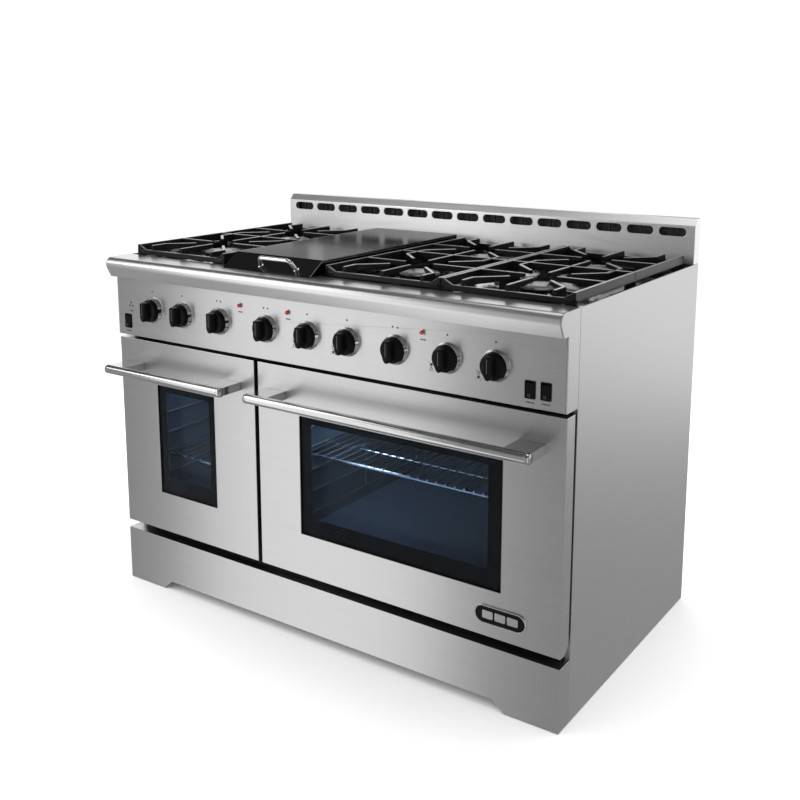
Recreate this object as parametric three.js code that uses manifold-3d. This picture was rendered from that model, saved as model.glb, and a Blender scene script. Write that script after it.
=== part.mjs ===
// Freestanding gas range with two ovens, six burners and a covered griddle.
// Millimetres, +Z up, +X to the right as seen from the front, +Y towards the wall.
// The dimensions below are measured from the floor and from the door face (Y = 0);
// the finished group is then shifted so that its origin is at the middle of its base.
import * as THREE from 'three';
import { mergeVertices } from 'three/addons/utils/BufferGeometryUtils.js';
import Module from 'manifold-3d';

const wasm = await Module();
wasm.setup();

// ---------------------------------------------------------------- driving dimensions
const GAP = 0.4;                 // clearance between neighbouring pieces
const SHEET = 1.5;               // outer steel sheet
const THIN_SHEET = 1.2;          // liners, trays and inner door panels

const WIDTH = 1214;
const HALF_WIDTH = WIDTH / 2;
const TOP_Z = 838;               // top of the side panels and of the bullnose
const BACK_Y = 688;
const SIDE_FRONT_Y = 45;         // front edge of the side panels
const SIDE_BOTTOM_Z = 1;
const SIDE_RETURN = 12;          // width of the side panels' folded edges
const SIDE_HEM = 3;              // thickness of the doubled top edge
const INNER_HALF = HALF_WIDTH - SIDE_HEM - GAP;

const KICK_TOP_Z = 136.5;
const KICK_ARCH_HEIGHT = 23;
const KICK_ARCH_HALF_TOP = 460;
const KICK_ARCH_HALF_BOTTOM = 487.5;

const FRAME_Y = [46.9, 48.9];    // front and back of the face frame behind the doors
const FRAME_Z = [100, 660];
const CAVITY_Z = [225, 592];
const SMALL_CAVITY_X = [-552, -220];
const LARGE_CAVITY_X = [-98, 546];
const CAVITY_BACK_Y = 600;

const DOOR_Z = [157.5, 637];
const DOOR_THICKNESS = 35;
const DOOR_CHAMFER = 17;         // cut corner along the bottom of the door's back
const LEFT_DOOR_X = [-607, -163.5];
const RIGHT_DOOR_X = [-152.5, 607];
const WINDOW_Z = [257, 531];
const SMALL_WINDOW_X = [-482, -292];
const LARGE_WINDOW_X = [-33, 475];
const GLASS_THICKNESS = 4;
const GLASS_OVERLAP = 12;

const HINGE_Y = 20;
const HINGE_Z = 172;
const HINGE_ROD_R = 3.5;
const HINGE_BORE_R = 4.1;
const HINGE_INSET = 22;          // hinge arm centre to the side of the door
const HINGE_ARM_WIDTH = 8;
const HINGE_ARM_HEIGHT = 10;

const HANDLE_R = 11;
const HANDLE_Y = -65;
const HANDLE_Z = 571;
const BRACKET_WIDTH = 60;
const BRACKET_HEIGHT = 19;
const LEFT_HANDLE_X = [-583, -203];
const RIGHT_HANDLE_X = [-131, 567.5];

const PANEL_Y = -2.5;            // face of the control panel
const PANEL_Z = [645.5, 791];
const NOSE_CENTRE = [-18, 821.5];
const NOSE_R = 16.5;
const NOSE_END_DEGREES = 204;
const LIP = [-21, 791];

const KNOB_Z = 716;
const KNOB_HOLE_R = 6.5;
const SPINDLE_R = 4;
const KNOB_BLADE = [19, 47];     // grip across the knob's face: width and height
const KNOB_DEPTH = 35;
const KNOB_DISC = { r: 24, faceR: 19, depth: 12, faceDepth: 17 };
const KNOB_TAPER = 4;            // how far the grip's corners stand back from its ends
const SPINDLE_END_Y = 13;
const LAMP_Z = 760;
const LAMP_R = 5;
const ROCKER_SIZE = [18, 29];
const ROCKER_PIVOT_Y = 3;
const ROCKER_HOLE = [20, 33];

const TRAY_Y = [45.4, 653.6];
const TRAY_FLOOR_Z = 817;
const TRAY_RIM_Z = 835;
const TRAY_RIM = 8;

const GRATE_TOP_Z = 862;
const GRATE_Y = [54, 635];
const GRATE_WIDTH = 295;
const GRATE_BAR = 9;
const GRATE_CROSS_Y = 343;
const GRATE_FOOT = 24;             // width of a grate foot
const GRATE_SIDE_DEPTH = 20;
const GRATE_END_Z = [GRATE_TOP_Z - 24, GRATE_TOP_Z - 12];
const FINGER_DEPTH = 16;
const FINGER_CLEAR = 36;           // from the burner's centre to a straight finger
const FINGER_TIP = 46;             // from the centre to a bent finger, along X and along Y
const FINGER_BEND = 100;           // from the centre to its bend
const BURNER_Y = { front: 202, rear: 476 };
const BURNER_HOLE_R = 30;
const BURNER_NECK = { r: 27, length: 26 };
const PLATE = { top: 850, y: [80, 600], thickness: 10, rim: 14, well: 4 };
const GRATE_X = { left: -445, middle: 148.5, right: 444.5 };

const COVER_X = [-264, -8];
const COVER_TOP_Z = 870;
const COVER_Y = [60, 615];       // flat top
const COVER_FOOT = [13, TOP_Z + GAP];
const COVER_HANDLE_X = [-156, -64];
const COVER_HANDLE_RISE = 27;
const COVER_HANDLE_WIRE_R = 4;
const COVER_HANDLE_BEND_R = 16;
const COVER_HANDLE_SHARE = 0.34;   // how far up the slope it stands

const GUARD_Y = 654;             // front face of the backguard
const GUARD_TOP_Z = 944;
const GUARD_CHAMFER = [13.5, 16];
const VENT_COUNT = 15;
const VENT_PITCH = 79;
const VENT_SIZE = [65, 20];
const VENT_Z = 912;

const LEG_X = 540;
const LEG_Y = { front: 110, rear: 620 };
const LEG_PAD_R = 22;
const LEG_STEM_R = 9;
const LEG_NUT = { r: 15, z: [112, 122] };
const BASE_Z = 140;

const GAS_PIPE = { x: 575, y: 38, r: 9 };
const VALVE = { halfWidth: 12, y: [14, 40] };

// Places across the control panel: name and X, and for the switches Z as well.
const KNOBS = [
  ['knob_left_rear', -483], ['knob_left_front', -383], ['knob_small_oven', -264],
  ['knob_griddle', -122], ['knob_middle_rear', -4], ['knob_middle_front', 103],
  ['knob_large_oven', 225], ['knob_right_rear', 349], ['knob_right_front', 457]];
const LAMPS = [['lamp_small_oven', -198], ['lamp_griddle', -58], ['lamp_large_oven', 291]];
const ROCKERS = [
  ['switch_small_oven_light', -571.5, 681], ['switch_large_oven_fan', 531, 681],
  ['switch_large_oven_light', 564, 682]];

const DOORS = {
  left: { width: LEFT_DOOR_X, windowX: SMALL_WINDOW_X, handleX: LEFT_HANDLE_X },
  right: { width: RIGHT_DOOR_X, windowX: LARGE_WINDOW_X, handleX: RIGHT_HANDLE_X },
};

const RACK_WIRE = 6;
const RACK_Y = [66, 540];
const RACKS = {
  large_oven_rack: { width: [LARGE_CAVITY_X[0] + 10, LARGE_CAVITY_X[1] - 10], z: 420, wires: 14 },
  small_oven_rack: { width: [SMALL_CAVITY_X[0] + 10, SMALL_CAVITY_X[1] - 10], z: 331, wires: 7 },
};
const FAN = { x: (LARGE_CAVITY_X[0] + LARGE_CAVITY_X[1]) / 2, z: 400, r: 76 };
const FAN_COVER = { y: 556, size: [330, 270] };

// ---------------------------------------------------------------- finishes
const FINISH = {
  steel: { color: 0xb8babd, roughness: 0.34, metalness: 0.9 },
  polished: { color: 0xd2d4d6, roughness: 0.12, metalness: 1 },
  enamel: { color: 0x121315, roughness: 0.25, metalness: 0.1 },
  castIron: { color: 0x1d1d1f, roughness: 0.6, metalness: 0.4 },
  blackSteel: { color: 0x2b2c2e, roughness: 0.22, metalness: 0.9 },
  liner: { color: 0x2c3440, roughness: 0.35, metalness: 0.2 },
  knob: { color: 0x0b0b0c, roughness: 0.28, metalness: 0 },
  lamp: { color: 0xa31414, roughness: 0.15, metalness: 0 },
  glass: { color: 0x1a2028, roughness: 0.05, metalness: 0 },
  wire: { color: 0xc9ccd0, roughness: 0.2, metalness: 1 },
  zinc: { color: 0x9fa3a8, roughness: 0.45, metalness: 0.9 },
  brass: { color: 0xb08d57, roughness: 0.35, metalness: 1 },
};

// ---------------------------------------------------------------- solid helpers
function toSolid(geometry) {
  const plain = geometry.index ? geometry.toNonIndexed() : geometry.clone();
  plain.deleteAttribute('normal');
  plain.deleteAttribute('uv');
  const merged = mergeVertices(plain, 1e-4);
  const vertProperties = Float32Array.from(merged.attributes.position.array);
  const triVerts = Uint32Array.from(merged.index.array);
  const solid = new wasm.Manifold(new wasm.Mesh({ numProp: 3, vertProperties, triVerts }));
  if (solid.volume() > 0) return solid;
  for (let i = 0; i < triVerts.length; i += 3) {
    [triVerts[i + 1], triVerts[i + 2]] = [triVerts[i + 2], triVerts[i + 1]];
  }
  return new wasm.Manifold(new wasm.Mesh({ numProp: 3, vertProperties, triVerts }));
}

function toGeometry(solid) {
  const mesh = solid.getMesh();
  const geometry = new THREE.BufferGeometry();
  geometry.setAttribute('position', new THREE.BufferAttribute(mesh.vertProperties, 3));
  geometry.setIndex(new THREE.BufferAttribute(mesh.triVerts, 1));
  geometry.computeVertexNormals();
  return geometry;
}

function join(...solids) {
  return solids.flat().reduce((whole, solid) => whole.add(solid));
}

function cut(solid, ...tools) {
  return tools.flat().reduce((rest, tool) => rest.subtract(tool), solid);
}

function box([x0, x1], [y0, y1], [z0, z1]) {
  const geometry = new THREE.BoxGeometry(x1 - x0, y1 - y0, z1 - z0);
  geometry.translate((x0 + x1) / 2, (y0 + y1) / 2, (z0 + z1) / 2);
  return toSolid(geometry);
}

function shapeOf(outline) {
  return outline instanceof THREE.Shape ? outline : new THREE.Shape(
    outline.map(([a, b]) => new THREE.Vector2(a, b)));
}

// Prism along X from a (Y, Z) outline.
function prismX(outline, [x0, x1]) {
  const geometry = new THREE.ExtrudeGeometry(shapeOf(outline), {
    depth: x1 - x0, bevelEnabled: false, curveSegments: 8 });
  geometry.applyMatrix4(new THREE.Matrix4().makeBasis(
    new THREE.Vector3(0, 1, 0), new THREE.Vector3(0, 0, 1), new THREE.Vector3(1, 0, 0)));
  geometry.translate(x0, 0, 0);
  return toSolid(geometry);
}

// Prism along Y from an (X, Z) outline.
function prismY(outline, [y0, y1], curveSegments = 2) {
  const geometry = new THREE.ExtrudeGeometry(shapeOf(outline), {
    depth: y1 - y0, bevelEnabled: false, curveSegments });
  geometry.applyMatrix4(new THREE.Matrix4().makeBasis(
    new THREE.Vector3(1, 0, 0), new THREE.Vector3(0, 0, 1), new THREE.Vector3(0, -1, 0)));
  geometry.translate(0, y1, 0);
  return toSolid(geometry);
}

// Round bar along one axis: centre holds the other two coordinates in X, Y, Z order.
function rod(axis, radius, [from, to], [a, b], segments = 16) {
  const geometry = new THREE.CylinderGeometry(radius, radius, to - from, segments);
  const middle = (from + to) / 2;
  if (axis === 'x') {
    geometry.rotateZ(-Math.PI / 2);
    geometry.translate(middle, a, b);
  } else if (axis === 'y') {
    geometry.translate(a, middle, b);
  } else {
    geometry.rotateX(Math.PI / 2);
    geometry.translate(a, b, middle);
  }
  return toSolid(geometry);
}

// Turned piece from [radius, height] points, standing on Z at (x, y).
function turned(profile, [x, y], segments = 16) {
  const geometry = new THREE.LatheGeometry(
    profile.map(([radius, height]) => new THREE.Vector2(radius, height)), segments);
  geometry.rotateX(Math.PI / 2);
  geometry.translate(x, y, 0);
  return toSolid(geometry);
}

// Square-edged bar between two points of the XY plane.
function bar([x0, y0], [x1, y1], width, [z0, z1]) {
  const length = Math.hypot(x1 - x0, y1 - y0);
  const geometry = new THREE.BoxGeometry(length, width, z1 - z0);
  geometry.rotateZ(Math.atan2(y1 - y0, x1 - x0));
  geometry.translate((x0 + x1) / 2, (y0 + y1) / 2, (z0 + z1) / 2);
  return toSolid(geometry);
}

// The inner face of a bent sheet whose outer face is the path: it lies on the path's left.
function sheetInside(path, thickness) {
  const normal = path.slice(1).map(([a, b], i) => {
    const [p, q] = path[i];
    const length = Math.hypot(a - p, b - q);
    return [-(b - q) / length, (a - p) / length];
  });
  return path.map(([a, b], i) => {
    const before = normal[Math.max(i - 1, 0)];
    const after = normal[Math.min(i, normal.length - 1)];
    const sum = [before[0] + after[0], before[1] + after[1]];
    const scale = 2 * thickness / (sum[0] ** 2 + sum[1] ** 2);
    return [a + sum[0] * scale, b + sum[1] * scale];
  });
}

// Closed outline of a bent sheet.
function bentSheet(path, thickness) {
  return [...path, ...sheetInside(path, thickness).reverse()];
}

function arcPoints([a, b], radius, fromDegrees, toDegrees, steps) {
  return Array.from({ length: steps + 1 }, (_, i) => {
    const angle = THREE.MathUtils.degToRad(fromDegrees + (toDegrees - fromDegrees) * i / steps);
    return [a + radius * Math.cos(angle), b + radius * Math.sin(angle)];
  });
}

// Rectangle with rounded corners, in the plane that a prism starts from.
function roundedRectangle([a, b], [width, height], radius) {
  const shape = new THREE.Shape();
  const right = a + width / 2 - radius;
  const left = a - width / 2 + radius;
  const top = b + height / 2 - radius;
  const bottom = b - height / 2 + radius;
  shape.absarc(right, top, radius, 0, Math.PI / 2, false);
  shape.absarc(left, top, radius, Math.PI / 2, Math.PI, false);
  shape.absarc(left, bottom, radius, Math.PI, 1.5 * Math.PI, false);
  shape.absarc(right, bottom, radius, 1.5 * Math.PI, 2 * Math.PI, false);
  return shape;
}

function grown([from, to], by) {
  return [from - by, to + by];
}

// The interval between two distances from the centre, on the left (-1) or right (+1) side.
function onSide(side, near, far) {
  return side > 0 ? [near, far] : [-far, -near];
}

const range = new THREE.Group();

function add(name, solid, finish) {
  const material = new THREE.MeshStandardMaterial({ ...FINISH[finish], flatShading: true });
  const mesh = new THREE.Mesh(toGeometry(solid), material);
  mesh.name = name;
  range.add(mesh);
}

// ---------------------------------------------------------------- cabinet
function sidePanel(side) {
  const foldZ = TOP_Z - SIDE_RETURN;
  const blank = box(onSide(side, HALF_WIDTH - SIDE_RETURN, HALF_WIDTH),
    [SIDE_FRONT_Y, BACK_Y], [SIDE_BOTTOM_Z, TOP_Z]);
  const betweenFolds = box(onSide(side, HALF_WIDTH - SIDE_RETURN - 5, HALF_WIDTH - SHEET),
    [SIDE_FRONT_Y + SHEET, BACK_Y - SHEET], [SIDE_BOTTOM_Z - 5, foldZ]);
  const besideHem = box(onSide(side, HALF_WIDTH - SIDE_RETURN - 5, HALF_WIDTH - SIDE_HEM),
    [SIDE_FRONT_Y - 5, BACK_Y + 5], [foldZ, TOP_Z + 5]);
  return cut(blank, betweenFolds, besideHem);
}

function backPanel() {
  const front = BACK_Y - 2 * SHEET - GAP;
  const sheet = box([-INNER_HALF, INNER_HALF], [front, front + SHEET], [4, TOP_Z - 2]);
  const pipeHole = rod('y', GAS_PIPE.r + 3, [front - 5, BACK_Y], [GAS_PIPE.x, KNOB_Z]);
  return cut(sheet, pipeHole);
}

function basePan() {
  const front = FRAME_Y[1] + GAP;
  const back = BACK_Y - 2 * SHEET - 2 * GAP;
  return box([-INNER_HALF, INNER_HALF], [front, back], [BASE_Z, BASE_Z + SHEET]);
}

function kickPlate() {
  const blank = box([-HALF_WIDTH, HALF_WIDTH], [0, SIDE_FRONT_Y - GAP],
    [SIDE_BOTTOM_Z, KICK_TOP_Z]);
  const hollow = box([SHEET - HALF_WIDTH, HALF_WIDTH - SHEET], [SHEET, SIDE_FRONT_Y + 5],
    [SIDE_BOTTOM_Z - 5, KICK_TOP_Z - SHEET]);
  const slope = (KICK_ARCH_HALF_BOTTOM - KICK_ARCH_HALF_TOP) / KICK_ARCH_HEIGHT;
  const top = SIDE_BOTTOM_Z + KICK_ARCH_HEIGHT;
  const low = SIDE_BOTTOM_Z - 5;
  const halfLow = KICK_ARCH_HALF_TOP + slope * (top - low);
  const arch = prismY([
    [-halfLow, low], [halfLow, low], [KICK_ARCH_HALF_TOP, top], [-KICK_ARCH_HALF_TOP, top]],
  [-5, SHEET + 5]);
  return cut(blank, hollow, arch);
}

function levelingLeg(side, y) {
  const [nutLow, nutHigh] = LEG_NUT.z;
  const profile = [
    [0, 0], [LEG_PAD_R, 0], [LEG_PAD_R, 6], [LEG_STEM_R, 9], [LEG_STEM_R, nutLow],
    [LEG_NUT.r, nutLow], [LEG_NUT.r, nutHigh], [LEG_STEM_R, nutHigh],
    [LEG_STEM_R, BASE_Z - GAP], [0, BASE_Z - GAP]];
  return turned(profile, [side * LEG_X, y], 10);
}

function frontFrame() {
  const plate = box([-INNER_HALF, INNER_HALF], FRAME_Y, FRAME_Z);
  const mouths = [SMALL_CAVITY_X, LARGE_CAVITY_X].map(
    (width) => box(width, grown(FRAME_Y, 5), CAVITY_Z));
  return cut(plate, mouths);
}

function ovenLiner(width) {
  const front = FRAME_Y[1] + GAP;
  const shell = box(grown(width, THIN_SHEET), [front, CAVITY_BACK_Y + THIN_SHEET],
    grown(CAVITY_Z, THIN_SHEET));
  return cut(shell, box(width, [front - 5, CAVITY_BACK_Y], CAVITY_Z));
}

// ---------------------------------------------------------------- cooktop
function noseOutline() {
  return [
    ...arcPoints(NOSE_CENTRE, NOSE_R, 90, NOSE_END_DEGREES, 9),
    LIP];
}

function bullnoseTrim() {
  const path = [[SIDE_FRONT_Y - GAP, TOP_Z], ...noseOutline(), [12, PANEL_Z[1]]];
  return prismX(bentSheet(path, SHEET), [-INNER_HALF, INNER_HALF]);
}

function endCap(side) {
  const outline = [
    [SIDE_FRONT_Y - GAP, TOP_Z], ...noseOutline(), [PANEL_Y, PANEL_Z[1]],
    [PANEL_Y, PANEL_Z[0]], [SIDE_FRONT_Y - GAP, PANEL_Z[0]]];
  return prismX(outline, onSide(side, HALF_WIDTH - SIDE_HEM, HALF_WIDTH));
}

function burnerCentres() {
  return Object.entries(GRATE_X).flatMap(([place, x]) => Object.entries(BURNER_Y).map(
    ([row, y]) => ({ name: `burner_${place}_${row}`, x, y })));
}

function cooktopTray() {
  const floorX = INNER_HALF - TRAY_RIM;
  const floorY = grown(TRAY_Y, -TRAY_RIM);
  const top = [TRAY_RIM_Z - THIN_SHEET, TRAY_RIM_Z];
  const pan = box(grown([-floorX, floorX], THIN_SHEET), grown(floorY, THIN_SHEET),
    [TRAY_FLOOR_Z, TRAY_RIM_Z]);
  const rim = box([-INNER_HALF, INNER_HALF], TRAY_Y, top);
  const hollow = box([-floorX, floorX], floorY, [TRAY_FLOOR_Z + THIN_SHEET, TRAY_RIM_Z + 5]);
  const holes = burnerCentres().map(
    ({ x, y }) => rod('z', BURNER_HOLE_R, [TRAY_FLOOR_Z - 5, TRAY_RIM_Z], [x, y]));
  return cut(join(pan, rim), hollow, holes);
}

function burner({ x, y }) {
  const seat = TRAY_FLOOR_Z + THIN_SHEET + GAP;
  const low = seat - BURNER_NECK.length;
  const profile = [
    [0, low], [BURNER_NECK.r, low], [BURNER_NECK.r, seat], [50, seat], [50, seat + 5],
    [43, seat + 8], [43, seat + 15], [46, seat + 20], [38, seat + 24], [0, seat + 25]];
  return turned(profile, [x, y], 16);
}

// Fingers and side bars of one grate, which spans two burners.
function grate(x) {
  const half = GRATE_WIDTH / 2;
  const seat = TRAY_FLOOR_Z + THIN_SHEET + GAP;
  const [front, back] = GRATE_Y;
  const crossY = grown([GRATE_CROSS_Y, GRATE_CROSS_Y], GRATE_BAR / 2);
  const endBars = [[front, front + GRATE_BAR], [back - GRATE_BAR, back]];
  const edge = (side, width) => [x + side * half, x + side * (half - width)].sort((a, b) => a - b);
  const sides = [-1, 1].map((side) => box(
    edge(side, GRATE_BAR), GRATE_Y, [GRATE_TOP_Z - GRATE_SIDE_DEPTH, GRATE_TOP_Z]));
  const feet = [-1, 1].flatMap((side) => [...endBars, crossY].map(
    (depth) => box(edge(side, GRATE_FOOT), depth, [seat, GRATE_TOP_Z - FINGER_DEPTH])));
  const corners = [-1, 1].flatMap((side) => endBars.map(
    (depth) => box(edge(side, GRATE_FOOT), depth, [GRATE_TOP_Z - FINGER_DEPTH, GRATE_TOP_Z])));
  const ends = endBars.map((depth) => box([x - half, x + half], depth, GRATE_END_Z));
  const cross = box([x - half, x + half], crossY, [GRATE_TOP_Z - FINGER_DEPTH, GRATE_TOP_Z]);
  const fingers = [
    burnerFingers(x, BURNER_Y.front, [front, GRATE_CROSS_Y]),
    burnerFingers(x, BURNER_Y.rear, [GRATE_CROSS_Y, back])];
  return join(sides, feet, corners, ends, cross, ...fingers);
}

// Four straight and four bent fingers around one burner, rooted at the limits given.
function burnerFingers(x, y, [front, back]) {
  const depth = [GRATE_TOP_Z - FINGER_DEPTH, GRATE_TOP_Z];
  const root = GRATE_WIDTH / 2 - 4;
  const straight = [
    bar([x - root, y], [x - FINGER_CLEAR, y], GRATE_BAR, depth),
    bar([x + FINGER_CLEAR, y], [x + root, y], GRATE_BAR, depth),
    bar([x, front], [x, y - FINGER_CLEAR], GRATE_BAR, depth),
    bar([x, y + FINGER_CLEAR], [x, back], GRATE_BAR, depth)];
  const bent = [-1, 1].flatMap((sideX) => [-1, 1].flatMap((sideY) => {
    const corner = [x + sideX * FINGER_BEND, y + sideY * FINGER_BEND];
    const limit = sideY < 0 ? front : back;
    return [
      bar([x + sideX * FINGER_TIP, y + sideY * FINGER_TIP], corner, GRATE_BAR, depth),
      bar([corner[0], corner[1] - sideY * 4], [corner[0], limit], GRATE_BAR, depth)];
  }));
  return [...straight, ...bent];
}

function griddlePlate() {
  const seat = TRAY_FLOOR_Z + THIN_SHEET + GAP;
  const width = grown(COVER_X, -12);
  const low = PLATE.top - PLATE.thickness;
  const plate = box(width, PLATE.y, [low, PLATE.top]);
  const well = box(grown(width, -PLATE.rim), grown(PLATE.y, -PLATE.rim),
    [PLATE.top - PLATE.well, PLATE.top + 5]);
  const [left, right] = grown(width, -5);
  const [front, back] = grown(PLATE.y, -10);
  const feet = [[left, left + 15], [right - 15, right]].flatMap((x) => [
    [front, front + 20], [back - 20, back]].map((y) => box(x, y, [seat, low + 2])));
  return join(cut(plate, well), feet);
}

function griddleCover() {
  const [topFront, topBack] = COVER_Y;
  const [footY, footZ] = COVER_FOOT;
  const lowZ = TRAY_FLOOR_Z + THIN_SHEET + GAP;
  const innerFront = TRAY_Y[0] + TRAY_RIM + 2;
  const outline = [
    [footY, footZ], [innerFront, footZ], [innerFront, lowZ], [topBack, lowZ],
    [topBack, COVER_TOP_Z], [topFront, COVER_TOP_Z]];
  const path = [[topBack, lowZ], [topBack, COVER_TOP_Z], [topFront, COVER_TOP_Z], [footY, footZ]];
  const [[backY], topBackInside, topFrontInside, toe] = sheetInside(path, SHEET);
  const beyondToe = toe.map((value, i) => value + 0.3 * (value - topFrontInside[i]));
  const hollow = [
    [backY, lowZ - 5], topBackInside, topFrontInside, beyondToe, [beyondToe[0], lowZ - 5]];
  return cut(prismX(outline, COVER_X), prismX(hollow, grown(COVER_X, -SHEET)));
}

// Square unit vectors of the griddle cover's sloping front, in the (Y, Z) plane.
function coverSlope() {
  const along = new THREE.Vector2(COVER_Y[0] - COVER_FOOT[0], COVER_TOP_Z - COVER_FOOT[1]);
  const length = along.length();
  along.normalize();
  return { along, length, out: new THREE.Vector2(-along.y, along.x) };
}

function coverHandle() {
  const { along, length, out } = coverSlope();
  const up = length * COVER_HANDLE_SHARE;
  const point = (x, away) => new THREE.Vector3(x,
    COVER_FOOT[0] + along.x * up + out.x * away,
    COVER_FOOT[1] + along.y * up + out.y * away);
  const [left, right] = COVER_HANDLE_X;
  const bendAt = COVER_HANDLE_RISE - COVER_HANDLE_BEND_R;
  const leftTop = point(left + COVER_HANDLE_BEND_R, COVER_HANDLE_RISE);
  const rightTop = point(right - COVER_HANDLE_BEND_R, COVER_HANDLE_RISE);
  const path = new THREE.CurvePath();
  path.add(new THREE.LineCurve3(point(left, GAP), point(left, bendAt)));
  path.add(new THREE.QuadraticBezierCurve3(
    point(left, bendAt), point(left, COVER_HANDLE_RISE), leftTop));
  path.add(new THREE.LineCurve3(leftTop, rightTop));
  path.add(new THREE.QuadraticBezierCurve3(
    rightTop, point(right, COVER_HANDLE_RISE), point(right, bendAt)));
  path.add(new THREE.LineCurve3(point(right, bendAt), point(right, GAP)));
  const section = new THREE.Shape();
  section.absarc(0, 0, COVER_HANDLE_WIRE_R, 0, 2 * Math.PI, false);
  return toSolid(new THREE.ExtrudeGeometry(section, {
    steps: 16, curveSegments: 4, bevelEnabled: false, extrudePath: path }));
}

function backguard() {
  const foot = TOP_Z + GAP;
  const [chamferY, chamferZ] = GUARD_CHAMFER;
  const path = [
    [BACK_Y, foot], [BACK_Y, GUARD_TOP_Z], [GUARD_Y + chamferY, GUARD_TOP_Z],
    [GUARD_Y, GUARD_TOP_Z - chamferZ], [GUARD_Y, foot]];
  const inside = sheetInside(path, SHEET);
  const [[innerBackY], [innerFrontY]] = [inside[0], inside.at(-1)];
  const hollow = [[innerBackY, foot - 5], ...inside.slice(1, -1), [innerFrontY, foot - 5]];
  const shell = cut(
    prismX(path, [-HALF_WIDTH, HALF_WIDTH]),
    prismX(hollow, [SHEET - HALF_WIDTH, HALF_WIDTH - SHEET]));
  const centres = Array.from({ length: VENT_COUNT },
    (_, i) => (i - (VENT_COUNT - 1) / 2) * VENT_PITCH);
  const vents = centres.map((x) => prismY(
    roundedRectangle([x, VENT_Z], VENT_SIZE, VENT_SIZE[1] / 2 - 0.5),
    [GUARD_Y - 5, GUARD_Y + 5], 4));
  return cut(shell, vents);
}

// ---------------------------------------------------------------- controls
function controlPanel() {
  const path = [[PANEL_Y, PANEL_Z[1] - GAP], [PANEL_Y, PANEL_Z[0]], [20, PANEL_Z[0]]];
  const sheet = prismX(bentSheet(path, SHEET), [-INNER_HALF, INNER_HALF]);
  const through = [PANEL_Y - 5, PANEL_Y + 5];
  const holes = [
    ...KNOBS.map(([, x]) => rod('y', KNOB_HOLE_R, through, [x, KNOB_Z], 12)),
    ...LAMPS.map(([, x]) => rod('y', LAMP_R + GAP, through, [x, LAMP_Z], 12)),
    ...ROCKERS.map(([, x, z]) => box(
      grown([x, x], ROCKER_HOLE[0] / 2), through, grown([z, z], ROCKER_HOLE[1] / 2)))];
  return cut(sheet, holes);
}

function knob(x) {
  const back = PANEL_Y - GAP;
  const { r, faceR, depth, faceDepth } = KNOB_DISC;
  const profile = [[0, back], [r, back], [r, back - depth], [faceR, back - faceDepth],
    [0, back - faceDepth]];
  const disc = new THREE.LatheGeometry(profile.map(([a, y]) => new THREE.Vector2(a, y)), 16);
  disc.translate(x, 0, KNOB_Z);
  const [left, right] = grown([x, x], KNOB_BLADE[0] / 2);
  const [low, high] = grown([KNOB_Z, KNOB_Z], KNOB_BLADE[1] / 2);
  const blade = prismY([
    [left, high - KNOB_TAPER], [left, low + KNOB_TAPER], [x, low],
    [right, low + KNOB_TAPER], [right, high - KNOB_TAPER], [x, high]],
  [back - KNOB_DEPTH, back - 6]);
  const spindle = rod('y', SPINDLE_R, [back - 5, SPINDLE_END_Y], [x, KNOB_Z], 8);
  return join(toSolid(disc), blade, spindle);
}

function lamp(x) {
  const lens = new THREE.LatheGeometry(
    [[0, -10], [3.5, -9], [LAMP_R, -6], [LAMP_R, 14], [0, 14]].map(
      ([r, y]) => new THREE.Vector2(r, y)), 12);
  lens.translate(x, 0, LAMP_Z);
  return toSolid(lens);
}

function rocker(x, z) {
  const [width, height] = ROCKER_SIZE;
  const outline = [
    [-2.9, height / 2], [-4.2, 0], [-8.4, -height / 2], [4, -height / 2], [10, -5], [10, 5],
    [4, height / 2]].map(([y, up]) => [y, z + up]);
  return prismX(outline, grown([x, x], width / 2));
}

function gasManifold() {
  const rail = rod('x', GAS_PIPE.r, [-520, GAS_PIPE.x], [GAS_PIPE.y, KNOB_Z], 10);
  const valves = KNOBS.map(([, x]) => box(grown([x, x], VALVE.halfWidth), VALVE.y,
    grown([KNOB_Z, KNOB_Z], VALVE.halfWidth)));
  const inlet = rod('y', GAS_PIPE.r, [GAS_PIPE.y, BACK_Y - GAP], [GAS_PIPE.x, KNOB_Z], 12);
  return join(rail, valves, inlet);
}

// ---------------------------------------------------------------- doors
function doorOutline() {
  const [low, high] = DOOR_Z;
  return [
    [0, high], [0, low], [DOOR_THICKNESS - DOOR_CHAMFER, low],
    [DOOR_THICKNESS, low + DOOR_CHAMFER], [DOOR_THICKNESS, high]];
}

function hingeArmsX([left, right]) {
  return [left + HINGE_INSET, right - HINGE_INSET];
}

// Room for the hinge arms, which stay with the cabinet while the door turns.
function armNotches(width) {
  const half = HINGE_ARM_WIDTH / 2 + 2;
  return hingeArmsX(width).map((x) => box(
    [x - half, x + half], [HINGE_Y - 9, DOOR_THICKNESS + 5], [DOOR_Z[0] - 5, HINGE_Z + 9]));
}

function doorSkin(width, windowX) {
  const hollow = box(grown(width, -THIN_SHEET), [SHEET, DOOR_THICKNESS + 5],
    grown(DOOR_Z, -THIN_SHEET));
  const opening = box(windowX, [-5, SHEET + 5], WINDOW_Z);
  return cut(prismX(doorOutline(), width), hollow, opening, armNotches(width));
}

function doorGlass(windowX) {
  const front = SHEET + GAP;
  return box(grown(windowX, GLASS_OVERLAP), [front, front + GLASS_THICKNESS],
    grown(WINDOW_Z, GLASS_OVERLAP));
}

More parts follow.
